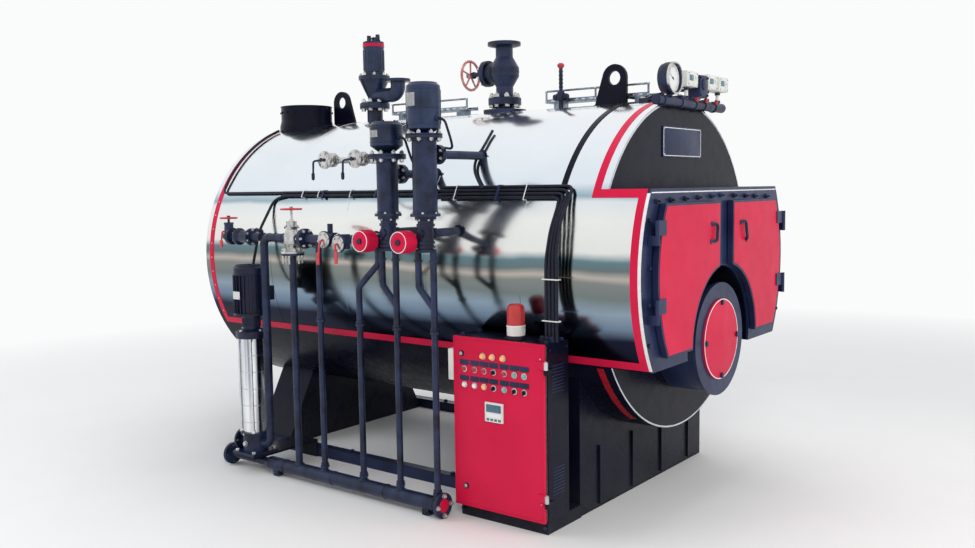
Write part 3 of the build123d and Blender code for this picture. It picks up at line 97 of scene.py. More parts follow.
def makeFinish(name, look):
    # colour blotches, roughness spread and fine bump, all from object coordinates in metres
    finish = bpy.data.materials.new(name)
    finish.use_nodes = True
    tree = finish.node_tree
    link = tree.links.new
    shader = tree.nodes["Principled BSDF"]
    values = {"Metallic": look.get("metal", 0), "Specular IOR Level": look.get("shine", 0.5),
              "Coat Weight": look.get("coat", 0),
              "Coat Roughness": 0.12, "Transmission Weight": look.get("clear", 0)}
    if "glow" in look:
        values.update({"Emission Color": (*look["colour"], 1), "Emission Strength": look["glow"]})
    for socket, value in values.items():
        shader.inputs[socket].default_value = value
    coords = addNode(tree, "TexCoord")
    spread = addNode(tree, "Mapping", {"Scale": look.get("stretch", (1, 1, 1))})
    link(coords.outputs["Object"], spread.inputs["Vector"])

    def grain(scale, detail):
        noise = addNode(tree, "TexNoise", {"Scale": scale, "Detail": detail})
        link(spread.outputs["Vector"], noise.inputs["Vector"])
        return noise.outputs["Fac"]

    blotch = addNode(tree, "ValToRGB")
    for element, position, tone in zip(blotch.color_ramp.elements, (0.35, 0.62), (look["shade"], look["colour"])):
        element.position = position
        element.color = (*tone, 1)
    link(grain(look.get("blotch", 6), 5), blotch.inputs["Fac"])
    colour = blotch.outputs["Color"]
    if "dust" in look:  # pale dust that settles near the floor
        place = addNode(tree, "SeparateXYZ")
        link(coords.outputs["Object"], place.inputs["Vector"])
        low = addNode(tree, "MapRange",
                      {"From Min": 0.0, "From Max": look["dustHeight"], "To Min": 0.5, "To Max": 0.0})
        link(place.outputs["Z"], low.inputs["Value"])
        patch = addNode(tree, "Math", operation="MULTIPLY")
        link(low.outputs["Result"], patch.inputs[0])
        link(grain(9, 6), patch.inputs[1])
        settle = addNode(tree, "Mix", {"B": (*look["dust"], 1)}, data_type="RGBA")
        link(patch.outputs["Value"], settle.inputs["Factor"])
        link(colour, settle.inputs["A"])
        colour = settle.outputs["Result"]
    if "bands" in look:
        # the yard's reflection painted into the polished sheet's colour, band by band in height
        colour = addPaintedReflection(tree, coords, grain(2, 5), colour)
    link(colour, shader.inputs["Base Color"])
    smooth, dull = look["rough"]
    rough = addNode(tree, "MapRange", {"From Min": 0.3, "From Max": 0.7, "To Min": smooth, "To Max": dull})
    link(grain(look.get("patch", 14), 4), rough.inputs["Value"])
    link(rough.outputs["Result"], shader.inputs["Roughness"])
    bump = addNode(tree, "Bump", {"Strength": look["bump"], "Distance": look.get("deep", 0.001)})
    link(grain(look["grain"], 2), bump.inputs["Height"])
    link(bump.outputs["Normal"], shader.inputs["Normal"])
    return finish


looks = {
    # mirror sheet: its colour also carries the painted reflection bands
    "mirrorSheet": dict(colour=(0.93, 0.95, 0.97), shade=(0.86, 0.89, 0.92), metal=1, rough=(0.1, 0.2),
                        stretch=(0.7, 1.6, 1.6),
                        blotch=1.4, patch=4, grain=2.2, bump=0.3, deep=0.003, bands=True),
    "blackGloss": dict(colour=(0.005, 0.006, 0.017), shade=(0.002, 0.003, 0.009), rough=(0.22, 0.36), shine=0.12,
                       blotch=3, grain=60,
                       bump=0.08, dust=(0.05, 0.05, 0.06), dustHeight=0.3),
    "slateGloss": dict(colour=(0.02, 0.03, 0.085), shade=(0.01, 0.015, 0.05), rough=(0.28, 0.42), shine=0.25,
                       blotch=4, grain=90, bump=0.12),
    "crimsonEnamel": dict(colour=(0.66, 0.012, 0.062), shade=(0.58, 0.008, 0.05), rough=(0.3, 0.42), shine=0.14,
                          blotch=2.5, grain=120, bump=0.06),
    "wheelRed": dict(colour=(0.62, 0.06, 0.075), shade=(0.42, 0.03, 0.04), rough=(0.35, 0.55), blotch=30, grain=400,
                     bump=0.15),
    "castDark": dict(colour=(0.016, 0.026, 0.07), shade=(0.004, 0.006, 0.02), rough=(0.3, 0.48), shine=0.35,
                     blotch=12, grain=260, bump=0.35),
    "bluePaint": dict(colour=(0.014, 0.028, 0.075), shade=(0.004, 0.008, 0.026), rough=(0.22, 0.38), shine=0.4,
                      blotch=9, grain=180, bump=0.15),
    "brightValve": dict(colour=(0.68, 0.68, 0.66), shade=(0.42, 0.42, 0.42), metal=1, rough=(0.2, 0.4), blotch=25,
                        grain=240, bump=0.2),
    "zincSheet": dict(colour=(0.3, 0.36, 0.42), shade=(0.16, 0.2, 0.26), metal=0.8, rough=(0.32, 0.5), blotch=35,
                      grain=90, bump=0.1),
    "millSteel": dict(colour=(0.32, 0.31, 0.3), shade=(0.2, 0.19, 0.18), metal=0.9, rough=(0.4, 0.6), blotch=14,
                      grain=160, bump=0.2),
    "paleBox": dict(colour=(0.76, 0.76, 0.72), shade=(0.68, 0.68, 0.64), rough=(0.4, 0.55), blotch=12, grain=500,
                    bump=0.1),
    "silverLabel": dict(colour=(0.75, 0.75, 0.74), shade=(0.6, 0.6, 0.6), metal=0.7, rough=(0.3, 0.42),
                        stretch=(1, 1, 12),
                        blotch=60, grain=300, bump=0.05),
    "cableBlack": dict(colour=(0.008, 0.01, 0.024), shade=(0.004, 0.005, 0.012), rough=(0.4, 0.55), shine=0.3,
                       blotch=40, grain=500, bump=0.2),
    "tieWhite": dict(colour=(0.8, 0.82, 0.82), shade=(0.72, 0.74, 0.74), rough=(0.4, 0.5), blotch=40, grain=500,
                     bump=0.05),
    "redLens": dict(colour=(0.75, 0.02, 0.02), shade=(0.62, 0.01, 0.015), rough=(0.08, 0.16), clear=0.35, coat=0.5,
                    blotch=15,
                    grain=140, bump=0.2),
    "amberLens": dict(colour=(0.9, 0.5, 0.16), shade=(0.82, 0.38, 0.1), rough=(0.1, 0.2), clear=0.2, coat=0.4,
                      blotch=60,
                      grain=600, bump=0.1, glow=0.25),
    "greenCap": dict(colour=(0.16, 0.5, 0.42), shade=(0.1, 0.38, 0.32), rough=(0.2, 0.3), coat=0.3, blotch=80,
                     grain=700, bump=0.1),
    "redCap": dict(colour=(0.42, 0.012, 0.025), shade=(0.3, 0.008, 0.016), rough=(0.2, 0.3), coat=0.3, blotch=80,
                   grain=700, bump=0.1),
    "dialWhite": dict(colour=(0.82, 0.83, 0.82), shade=(0.78, 0.79, 0.78), rough=(0.3, 0.4), blotch=30, grain=500,
                      bump=0.03),
    "screenTeal": dict(colour=(0.03, 0.13, 0.2), shade=(0.02, 0.09, 0.15), rough=(0.08, 0.14), coat=0.5, blotch=60,
                       grain=600, bump=0.03),
    "sheetEdge": dict(colour=(0.7, 0.72, 0.74), shade=(0.55, 0.57, 0.6), metal=1, rough=(0.18, 0.3), blotch=20,
                      grain=200, bump=0.1),
    "motorNavy": dict(colour=(0.01, 0.013, 0.04), shade=(0.005, 0.006, 0.02), rough=(0.3, 0.45), shine=0.3,
                      blotch=8, grain=240,
                      bump=0.25),
    # pump sleeve: dark vertical streaks painted into the polished sleeve's colour stand in for its reflections
    "sleeveSteelPaintedStreaks": dict(colour=(0.92, 0.93, 0.94), shade=(0.2, 0.24, 0.3), metal=1, rough=(0.1, 0.2),
                        stretch=(1, 1, 0.03), blotch=26,
                        patch=20, grain=200, bump=0.05),
    "wornRed": dict(colour=(0.62, 0.34, 0.32), shade=(0.5, 0.12, 0.11), rough=(0.35, 0.55), blotch=26, grain=400,
                    bump=0.15),
    "gasketGrey": dict(colour=(0.12, 0.12, 0.12), shade=(0.07, 0.07, 0.07), rough=(0.7, 0.85), blotch=60, grain=500,
                       bump=0.4),
}
finishes = {name: makeFinish(name, look) for name, look in looks.items()}
print("finishes mixed:", len(finishes))

finishNodes = {
    "millSteel": "pressure_shell",
    "mirrorSheet": "jacket_upper smokebox_jacket",
    "blackGloss": """jacket_lower front_tube_plate rear_end_plate jacket_bands rear_saddle
        front_saddle smokebox_casing lifting_lug_front lifting_lug_rear flue_collar
        pump_bracket cabinet_body cabinet_plinth""",
    "slateGloss": """rear_access_cover skid_rails smokebox_frame smokebox_door_right
        smokebox_door_left burner_throat pressure_limiter""",
    "crimsonEnamel": "jacket_trim burner_cover drain_wheel_rear drain_wheel_front cabinet_door",
    "zincSheet": "cable_trays",
    "castDark": """safety_valve_nozzle steam_nozzle main_valve_body vent_valve instrument_manifold
        pressure_gauge header_blank level_chamber_rear level_chamber_front
        drain_valve_rear drain_valve_front feed_line pump_foot pump_coupling
        drain_header drain_pipes""",
    "bluePaint": "safety_valve_body safety_valve_bonnet level_heads check_valve",
    "wornRed": "main_valve_wheel",
    "paleBox": "pressure_switches beacon_base",
    "wheelRed": "inlet_valve_wheel feed_valve_wheel",
    "brightValve": "gauge_cocks feed_valve_body",
    "sleeveSteelPaintedStreaks": "pump_sleeve",
    "motorNavy": "pump_motor",
    "redLens": "beacon_lens",
    "cableBlack": "conduits",
}
for finishName, nodeNames in finishNodes.items():
    for nodeName in nodeNames.split():
        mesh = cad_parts[nodeName].data
        mesh.materials.clear()
        mesh.materials.append(finishes[finishName])
print("cad nodes painted")


# small shape makers, all in metres in the boiler's frame

alongX, alongY, alongZ = Vector((1, 0, 0)), Vector((0, 1, 0)), Vector((0, 0, 1))


def circle(centre, radius, count, u, v, turn=0.0):
    # points round a centre, in the plane of two directions
    angles = [2 * pi * i / count + turn for i in range(count)]
    return [Vector(centre) + (u * cos(a) + v * sin(a)) * radius for a in angles]


def alongAxis(origin, direction):
    # matrix that carries +Z onto the direction and the zero point onto the origin
    turn = alongZ.rotation_difference(Vector(direction).normalized())
    return Matrix.Translation(Vector(origin)) @ turn.to_matrix().to_4x4()


def addLathe(bm, profile, origin, direction, steps=40):
    # (radius, height) points turned about an axis
    place = alongAxis(origin, direction)
    rings = []
    for radius, height in profile:
        if radius < 1e-6:
            rings.append([bm.verts.new(place @ Vector((0, 0, height)))])
        else:
            turns = [2 * pi * i / steps for i in range(steps)]
            rings.append([bm.verts.new(place @ Vector((radius * cos(a), radius * sin(a), height))) for a in turns])
    for low, high in zip(rings, rings[1:]):
        for i in range(steps):
            j = (i + 1) % steps
            corners = [low[i % len(low)], low[j % len(low)], high[j % len(high)], high[i % len(high)]]
            corners = [v for n, v in enumerate(corners) if v not in corners[:n]]
            if len(corners) > 2:
                bm.faces.new(corners)


def addCollar(bm, inner, outer, high, at, way, sides=24, ease=0.001, topEase=None):
    # a ring whose outer edges are eased
    profile = [(inner, 0), (outer, ease), (outer, high - (topEase or ease)), (inner, high)]
    addLathe(bm, profile, at, way, sides)


def addStub(bm, radius, high, at, way, sides=24, inset=0.0, ease=0.0):
    # a short closed cylinder, its top edge drawn in
    profile = [(0, 0), (radius, 0), (radius, high - ease)]
    if inset:
        profile.append((radius - inset, high))
    addLathe(bm, profile + [(0, high)], at, way, sides)


def addBand(bm, inner, outer, high, at, way, sides):
    # a flat ring open towards what it lies on
    addLathe(bm, [(inner, 0), (inner, high), (outer, high), (outer, 0)], at, way, sides)


def addBlock(bm, low, high, bevel=0.0):
    # a rectangular body between two corners, its edges eased
    xs, ys, zs = zip(low, high)
    c = [[[bm.verts.new((x, y, z)) for z in zs] for y in ys] for x in xs]
    corners = ("000 010 110 100", "001 101 111 011", "000 100 101 001", "010 011 111 110", "000 001 011 010",
               "100 110 111 101")
    faces = [bm.faces.new([c[int(i)][int(j)][int(k)] for i, j, k in quad.split()]) for quad in corners]
    if bevel:
        edges = list({e for f in faces for e in f.edges})
        bmesh.ops.bevel(bm, geom=edges, offset=bevel, segments=2, affect="EDGES", profile=0.6)


def addHexBolt(bm, origin, direction, across=0.024, head=0.012, washer=True):
    # a hexagon head with a chamfered top on its washer
    base = 0.0
    if washer:
        addLathe(bm, [(0, 0), (across * 0.68, 0), (across * 0.68, across * 0.1), (0, across * 0.1)], origin,
                 direction, 20)
        base = across * 0.1
    place = alongAxis(origin, direction)
    rings = []
    for height, share in ((base, 1), (base + head * 0.82, 1), (base + head, 0.86)):
        r = across * 0.577 * share
        corners = [(r * cos(pi / 3 * i), r * sin(pi / 3 * i), height) for i in range(6)]
        rings.append([bm.verts.new(place @ Vector(corner)) for corner in corners])
    for low, high in zip(rings, rings[1:]):
        for i in range(6):
            bm.faces.new((low[i], low[(i + 1) % 6], high[(i + 1) % 6], high[i]))
    bm.faces.new(rings[-1])
    bm.faces.new(list(reversed(rings[0])))


def addBoltCircle(bm, origin, direction, wide, count, across=0.024, head=0.012, start=0.0, stud=0.0):
    place = alongAxis(origin, direction)
    for i in range(count):
        angle = 2 * pi * i / count + radians(start)
        spot = place @ Vector((wide / 2 * cos(angle), wide / 2 * sin(angle), 0))
        addHexBolt(bm, spot, direction, across, head)
        if stud:
            addLathe(bm, [(across * 0.3, 0), (across * 0.3, head + stud), (across * 0.2, head + stud + 0.002),
                          (0, head + stud + 0.002)],
                     spot, direction, 12)


def roundedPath(points, bend, steps=6):
    # straight runs joined by arcs
    points = [Vector(p) for p in points]
    path = [points[0]]
    for before, corner, after in zip(points, points[1:], points[2:]):
        a = (before - corner).normalized()
        b = (after - corner).normalized()
        reach = min(bend, (before - corner).length * 0.49, (after - corner).length * 0.49)
        start, end = corner + a * reach, corner + b * reach
        for i in range(steps + 1):
            t = i / steps
            path.append(start * (1 - t) ** 2 + corner * 2 * t * (1 - t) + end * t ** 2)
    path.append(points[-1])
    return path


def addTube(bm, points, radius, bend=0.03, sides=14, closed=False):
    # a round bar or pipe along a route
    path = roundedPath(points, bend) if bend else [Vector(p) for p in points]
    side = None
    rings = []
    count = len(path)
    for i, spot in enumerate(path):
        ahead = path[(i + 1) % count] if closed else path[min(i + 1, count - 1)]
        behind = path[i - 1] if (closed or i) else path[0]
        run = (ahead - behind).normalized()
        if side is None:
            side = run.orthogonal().normalized()
        side = (side - run * side.dot(run)).normalized()
        other = run.cross(side)
        rings.append([bm.verts.new(v) for v in circle(spot, radius, sides, side, other)])
    pairs = list(zip(rings, rings[1:])) + ([(rings[-1], rings[0])] if closed else [])
    for low, high in pairs:
        for k in range(sides):
            bm.faces.new((low[k], low[(k + 1) % sides], high[(k + 1) % sides], high[k]))
    if not closed:
        bm.faces.new(list(reversed(rings[0])))
        bm.faces.new(rings[-1])


def finishPiece(name, bm, finish, body="boiler", sharp=35):
    bmesh.ops.recalc_face_normals(bm, faces=bm.faces)
    mesh = bpy.data.meshes.new(name)
    bm.to_mesh(mesh)
    bm.free()
    mesh.shade_smooth()
    mesh.set_sharp_from_angle(angle=radians(sharp))
    mesh.materials.append(finishes[finish])
    piece = bpy.data.objects.new(name, mesh)
    bpy.context.collection.objects.link(piece)
    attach(piece, body)
    return piece


def jacketY(z, lift):
    # how far out the jacket's near side stands at a height
    return -sqrt((jacketR + lift) ** 2 - (z - axisZ) ** 2)


# smokebox doors: frame studs, handles and the crimson faces of the leaves

doorStuds = dict(row=(-0.734, -0.587, -0.431, -0.284, -0.129, -0.014, 0.162, 0.315, 0.447, 0.621), middle=0.374,
                 ends=0.355,
                 span=0.8, across=0.02, stem=0.0055, side=0.79948, heights=(0.27, 0.05, -0.12, -0.31),
                 sideAcross=0.018)
bm = bmesh.new()
for y in doorStuds["row"]:
    z = axisZ + doorStuds["middle"] + (doorStuds["ends"] - doorStuds["middle"]) * abs(y) / doorStuds["span"]
    addHexBolt(bm, (boxFront, y, z), alongX, doorStuds["across"], 0.012)
    stem = [(doorStuds["stem"], 0), (doorStuds["stem"], 0.026), (0.004, 0.028), (0, 0.028)]
    addLathe(bm, stem, (boxFront, y, z), alongX, 12)
for side in (-1, 1):
    for z in doorStuds["heights"]:
        addHexBolt(bm, (boxFront, side * doorStuds["side"], axisZ + z), alongX, doorStuds["sideAcross"], 0.011)
finishPiece("smokebox_frame_studs", bm, "castDark")

handle = dict(bar=0.008, foot=-0.004, out=0.016, bend=0.018, plate=0.014)
handleRoutes = {"right": ((-0.19, 0.232), (-0.15, 0.23), (-0.155, 0.142), (-0.2, 0.142)),
                "left": ((0.178, 0.225), (0.215, 0.235), (0.24, 0.135), (0.26, 0.13))}
for side, places in handleRoutes.items():
    reach = (handle["foot"], handle["out"], handle["out"], handle["foot"])
    route = [(doorFront + out, y, axisZ + z) for out, (y, z) in zip(reach, places)]
    bm = bmesh.new()
    addTube(bm, route, handle["bar"], handle["bend"], 14)
    for end in (route[0], route[-1]):
        addStub(bm, handle["plate"], 0.006, (doorFront, end[1], end[2]), alongX, 24, 0.003, 0.002)
    finishPiece("smokebox_handle_" + side, bm, "castDark", "smokebox_door_" + side + "_body")

face = dict(inset=0.012, rim=0.775, arch=0.4, drop=0.385, high=0.345, inner=0.08, seat=0.0003, thick=0.0018,
            steps=20)


def sweep(radius, first, last, drop=0.0):
    # points along an arc in the doors' plane
    turns = [first + (last - first) * k / face["steps"] for k in range(face["steps"] + 1)]
    return [(radius * cos(a), radius * sin(a) - drop) for a in turns]


rim, arch = face["rim"] - face["inset"], face["arch"] + face["inset"]
low, high, inner = face["inset"] - face["drop"], face["high"] - face["inset"], face["inner"] + face["inset"]
outline = sweep(rim, asin(low / rim), asin(high / rim)) + [(inner, high)]
outline += sweep(arch, acos(inner / arch), asin(face["inset"] / arch), face["drop"])
for side, way in (("right", -1), ("left", 1)):
    bm = bmesh.new()
    rows = [[bm.verts.new((doorFront + lift, way * y, axisZ + z)) for y, z in outline] for lift in (face["seat"],
            face["thick"])]
    for k in range(len(outline)):
        after = (k + 1) % len(outline)
        bm.faces.new((rows[0][k], rows[0][after], rows[1][after], rows[1][k]))
    bm.faces.new(rows[1])
    bm.faces.new(rows[0])
    finishPiece("smokebox_door_face_" + side, bm, "crimsonEnamel", "smokebox_door_" + side + "_body")

# burner mouth: blank cover with caps on its four bolts, and a white ring painted as the highlight on its rim
burner = dict(front=0.595, circle=0.195, cap=0.0145, rim=0.213, line=0.005)
bm = bmesh.new()
for k in range(4):
    y, z = burner["circle"] * cos(pi / 2 * k), burner["circle"] * sin(pi / 2 * k)
    addLathe(bm, [(burner["cap"], 0.0003), (burner["cap"], 0.009), (burner["cap"] - 0.003, 0.0115), (0, 0.012)],
             (burner["front"], y, burnerZ + z), alongX, 24)
finishPiece("burner_cover_caps", bm, "castDark")
# white ring painted as the highlight along the cover's edge
bm = bmesh.new()
addBand(bm, burner["rim"] - burner["line"], burner["rim"], 0.0014, (burner["front"], 0, burnerZ), alongX, 96)
finishPiece("burner_cover_painted_highlight", bm, "tieWhite")

# strips on the smokebox: white strips painted as the highlight along the jacket's front edge, and the trim's arcs on
# the black lower sheet painted a darker red for the shade they lie in
edgeHighlight = dict(start=0.5705, end=0.586, lift=0.0016, low=0.802, high=1.634, steps=24,
              top=((0.5785, -0.775, 1.6335), (0.5875, 0.775, 1.6395)))
trimArc = dict(start=0.28, end=0.318, lift=0.0012, first=121, last=151, steps=16)


def addArcStrips(bm, first, last, steps, radius, section):
    # a thin strip on both sides of the jacket, its section given as (x, lift)
    arc = [first + (last - first) * k / steps for k in range(steps + 1)]
    for side in (-1, 1):
        rows = [[bm.verts.new((x, side * (radius + lift) * sin(a),
                               axisZ + (radius + lift) * cos(a))) for a in arc] for x, lift in section]
        for low, high in zip(rows, rows[1:]):
            for k in range(steps):
                bm.faces.new((low[k], low[k + 1], high[k + 1], high[k]))


# white strips painted as the highlight of the jacket's front edge
bm = bmesh.new()
r = jacketR + edgeHighlight["lift"]
addArcStrips(bm, acos((edgeHighlight["high"] - axisZ) / r), acos((edgeHighlight["low"] - axisZ) / r), edgeHighlight["steps"], r,
             ((edgeHighlight["start"], -0.001), (edgeHighlight["start"], 0.0), (edgeHighlight["end"], 0.0), (edgeHighlight["end"], -0.003)))
addBlock(bm, *edgeHighlight["top"], 0.001)
finishPiece("smokebox_edge_painted_highlight", bm, "tieWhite")
# the trim carried round the lower sheet in a darker red: painted shade
bm = bmesh.new()
addArcStrips(bm, radians(trimArc["first"]), radians(trimArc["last"]), trimArc["steps"], jacketR,
             ((trimArc["start"], 0.0), (trimArc["start"], trimArc["lift"]), (trimArc["end"], trimArc["lift"]),
              (trimArc["end"], 0.0)))
finishPiece("lower_trim_arcs_painted_shade", bm, "redCap")
print("smokebox front is dressed")

# bare name plate above the doors, with its border and rivets
plate = dict(left=-0.229, right=0.23, low=0.575, high=0.735, front=0.366, inset=0.006, line=0.004, rivet=0.014)
bm = bmesh.new()
addBlock(bm, (barrelFront, plate["left"], axisZ + plate["low"]),
         (plate["front"], plate["right"], axisZ + plate["high"]), 0.002)
finishPiece("maker_plate", bm, "slateGloss")
bm = bmesh.new()
back, front = plate["front"] - 0.0005, plate["front"] + 0.0006
left, right = plate["left"] + plate["inset"], plate["right"] - plate["inset"]
low, high = axisZ + plate["low"] + plate["inset"], axisZ + plate["high"] - plate["inset"]
for z in (low, high - plate["line"]):
    addBlock(bm, (back, left, z), (front, right, z + plate["line"]))
for y in (left, right - plate["line"]):
    addBlock(bm, (back, y, low), (front, y + plate["line"], high))
finishPiece("maker_plate_border", bm, "tieWhite")
bm = bmesh.new()
for y in (plate["left"] + plate["rivet"], plate["right"] - plate["rivet"]):
    for z in (plate["low"] + plate["rivet"], plate["high"] - plate["rivet"]):
        addLathe(bm, [(0, 0), (0.006, 0), (0.0055, 0.0022), (0.003, 0.0034), (0, 0.0036)],
                 (plate["front"], y, axisZ + z), alongX, 16)
finishPiece("maker_plate_rivets", bm, "brightValve")

# safety valve: flange bolts, ribbed bonnet, lifting fork between the posts
safety = dict(x=-1.9, seat=2.225, rim=2.425, capTop=2.65, flange=0.16, bonnet=0.0675, ribs=18, fork=0.026,
              post=0.04)
bm = bmesh.new()
addBoltCircle(bm, (safety["x"], 0, safety["seat"] + 0.0235), alongZ, safety["flange"], 8, 0.026, 0.015, 22.5, 0.008)
addBoltCircle(bm, (safety["x"], 0, safety["seat"] - 0.018), -alongZ, safety["flange"], 8, 0.026, 0.013, 22.5)
addBoltCircle(bm, (safety["x"], 0, safety["rim"]), alongZ, 0.178, 8, 0.018, 0.012, 0, 0.006)
finishPiece("safety_valve_bolts", bm, "brightValve")
bm = bmesh.new()
for spot in circle((safety["x"], 0, 0), safety["bonnet"], safety["ribs"], alongX, alongY):
    addTube(bm, [spot + alongZ * (safety["rim"] + 0.036), spot + alongZ * (safety["rim"] + 0.172)], 0.0042, 0, 8)
for rise in (0.005, 0.026):
    addTube(bm, circle((safety["x"], 0, safety["rim"] + rise), 0.0695, 40, alongX, alongY), 0.003, 0, 8, True)
addCollar(bm, 0.0698, 0.0712, 0.034, (safety["x"], 0, safety["capTop"] - 0.04), alongZ, 48, 0.004)
finishPiece("safety_valve_ribs", bm, "bluePaint")
bm = bmesh.new()
top = safety["capTop"]
addTube(bm, [(safety["x"] - 0.056, 0, top + safety["fork"]), (safety["x"] + 0.056, 0, top + safety["fork"])], 0.006,
        0, 14)
for side in (-1, 1):
    addCollar(bm, 0.0145, 0.018, 0.011, (safety["x"] + side * safety["post"], 0, top + 0.004), alongZ, 24, 0.002)
x = safety["x"] - 0.02
addTube(bm, [(x, 0.002, top + safety["fork"]), (x, 0.075, top + 0.03), (x, 0.086, top - 0.05)], 0.006, 0.015, 12)
addLathe(bm, [(0, 0), (0.014, 0), (0.016, 0.006), (0.01, 0.016), (0.006, 0.034), (0, 0.034)], (safety["x"], 0, top),
         alongZ, 24)
finishPiece("safety_valve_fork", bm, "castDark")
bm = bmesh.new()
addCollar(bm, 0.0708, 0.0722, 0.02, (safety["x"], 0, top - 0.034), alongZ, 48)
finishPiece("safety_valve_seal_band", bm, "crimsonEnamel")
bm = bmesh.new()
for inner, outer, spot in ((0.026, 0.046, (-1.685, 0, 2.39)), (0.041, 0.066, (-0.81, 0, 2.538))):
    addLathe(bm, [(inner, 0), (outer, 0), (outer, 0.0015), (inner, 0.0015)], spot, alongZ, 48)
finishPiece("outlet_raised_faces", bm, "sheetEdge")

# main steam valve: flange studs, bonnet bolts and gland
mainValve = dict(x=-0.81, seat=2.185, mid=2.3615, bonnet=-0.952, flange=0.16, belly=0.0882, marks=22, wheel=-1.072,
                 wheelR=0.087, grips=30)
mid = mainValve["mid"]
bm = bmesh.new()
addBoltCircle(bm, (mainValve["x"], 0, mainValve["seat"] + 0.0235), alongZ, mainValve["flange"], 8, 0.027, 0.016, 0,
              0.01)
addBoltCircle(bm, (mainValve["x"], 0, mainValve["seat"] - 0.02), -alongZ, mainValve["flange"], 8, 0.027, 0.014, 0)
addBoltCircle(bm, (mainValve["bonnet"], 0, mid), -alongX, 0.134, 8, 0.017, 0.012, 22.5, 0.006)
finishPiece("main_valve_studs", bm, "brightValve")
bm = bmesh.new()
addLathe(bm, [(0.0785, 0), (0.0795, 0.002), (0.0795, 0.003), (0.0785, 0.005)],
         (mainValve["bonnet"] + 0.018, 0, mid), -alongX, 48)
addLathe(bm, [(0.012, 0), (0.026, 0), (0.028, 0.004), (0.028, 0.01), (0.014, 0.014), (0.012, 0.02)],
         (-0.986, 0, mid), -alongX, 32)
for y in (-0.02, 0.02):
    addHexBolt(bm, (-0.996, y, mid), -alongX, 0.011, 0.008)
addLathe(bm, [(0.012, 0), (0.02, 0.001), (0.022, 0.012), (0.012, 0.014)], (-1.036, 0, mid), -alongX, 24)
finishPiece("main_valve_gland", bm, "castDark")
bm = bmesh.new()
for spot in circle((0, 0, 0), 1, mainValve["marks"], alongX, alongY):  # cast studs round the belly's waist
    if spot.x > -0.55:
        addLathe(bm, [(0, 0), (0.004, 0), (0.003, 0.0018), (0, 0.002)],
                 Vector((mainValve["x"], 0, mid)) + spot * mainValve["belly"], spot, 10)
addTube(bm, circle((mainValve["x"], 0, mid + 0.012), 0.0885, 48, alongX, alongY), 0.0018, 0, 6, True)
finishPiece("main_valve_casting_marks", bm, "castDark")
bm = bmesh.new()
for out in circle((0, 0, 0), 1, mainValve["grips"], alongY, alongZ):
    spot = Vector((mainValve["wheel"], 0, mid)) + out * (mainValve["wheelR"] + 0.0075)
    addLathe(bm, [(0, 0), (0.0035, 0), (0.0025, 0.0022), (0, 0.0026)], spot, out, 8)
finishPiece("main_wheel_grips", bm, "wornRed", "main_valve_wheel_body")

# vent valve: nuts on its cross and the red knob
vent = dict(x=-0.405, mid=2.1865, stemTop=2.35, rings=(2.24, 2.262, 2.284, 2.306, 2.328))
bm = bmesh.new()
for side in (-1, 1):
    addHexBolt(bm, (vent["x"] + side * 0.026, 0, vent["mid"]), (side, 0, 0), 0.034, 0.016, False)
    addCollar(bm, 0.0142, 0.017, 0.007, (vent["x"] + side * 0.041, 0, vent["mid"]), (side, 0, 0), 20)
addHexBolt(bm, (vent["x"], 0, 2.208), alongZ, 0.04, 0.012, False)
for z in vent["rings"]:
    addCollar(bm, 0.0112, 0.0135, 0.008, (vent["x"], 0, z), alongZ, 20, 0.002)
finishPiece("vent_valve_nuts", bm, "castDark")
bm = bmesh.new()
knob = [(0, 0), (0.011, 0), (0.019, 0.009), (0.021, 0.016), (0.019, 0.024), (0.01, 0.031), (0, 0.032)]
addLathe(bm, knob, (vent["x"], 0, vent["stemTop"]), alongZ, 28)
finishPiece("vent_valve_knob", bm, "wheelRed")
print("valves on top are dressed")

# instruments: dial, rims, covers, glands and the small fittings on the cross pipe
gauge = dict(y=-0.205, z=2.214, face=0.4065, front=0.423, glass=0.0738, marks=30, sweep=270, start=225, needle=150)
pipe = dict(x=0.39, z=2.098, ends=((-0.356, -1), (0.444, 1)), rings=(-0.3, -0.1, 0.065, 0.18, 0.315),
            caps=(0.063, 0.1805, 0.312))
boxes = {"cream": (-0.012, 0.063, 2.184, 2.264), "white": (0.24, 0.059, 2.184, 2.264),
         "end": (0.386, 0.059, 2.184, 2.264)}
limiter = dict(y=0.122, low=(0.4268, 0.073, 2.141), high=(0.431, 0.171, 2.247),
               screws=((0.08, 0.164), (2.148, 2.24)))
bm = bmesh.new()
addStub(bm, gauge["glass"] - 0.001, 0.0012, (gauge["face"], gauge["y"], gauge["z"]), alongX, 56)
finishPiece("gauge_dial", bm, "dialWhite")
bm = bmesh.new()
centre = Vector((gauge["face"] + 0.0016, gauge["y"], gauge["z"]))
for k in range(gauge["marks"] + 1):
    angle = radians(gauge["start"] - gauge["sweep"] * k / gauge["marks"])
    length = 0.011 if k % 5 == 0 else 0.006
    across = Vector((0, cos(angle), sin(angle)))
    side = Vector((0, -sin(angle), cos(angle))) * 0.0011
    a, b = centre + across * 0.064, centre + across * (0.064 - length)
    bm.faces.new([bm.verts.new(v) for v in (a - side, a + side, b + side, b - side)])
centre = Vector((gauge["face"] + 0.003, gauge["y"], gauge["z"]))
tip = Vector((0, cos(radians(gauge["needle"])), sin(radians(gauge["needle"]))))
side = Vector((0, -tip.z, tip.y)) * 0.003
bm.faces.new([bm.verts.new(v) for v in (centre - tip * 0.014 - side, centre - tip * 0.014 + side,
        centre + tip * 0.055)])
hub = [(0, 0), (0.006, 0), (0.005, 0.003), (0, 0.0035)]
addLathe(bm, hub, (gauge["face"] + 0.001, gauge["y"], gauge["z"]), alongX, 20)
finishPiece("gauge_marks", bm, "cableBlack")
bm = bmesh.new()
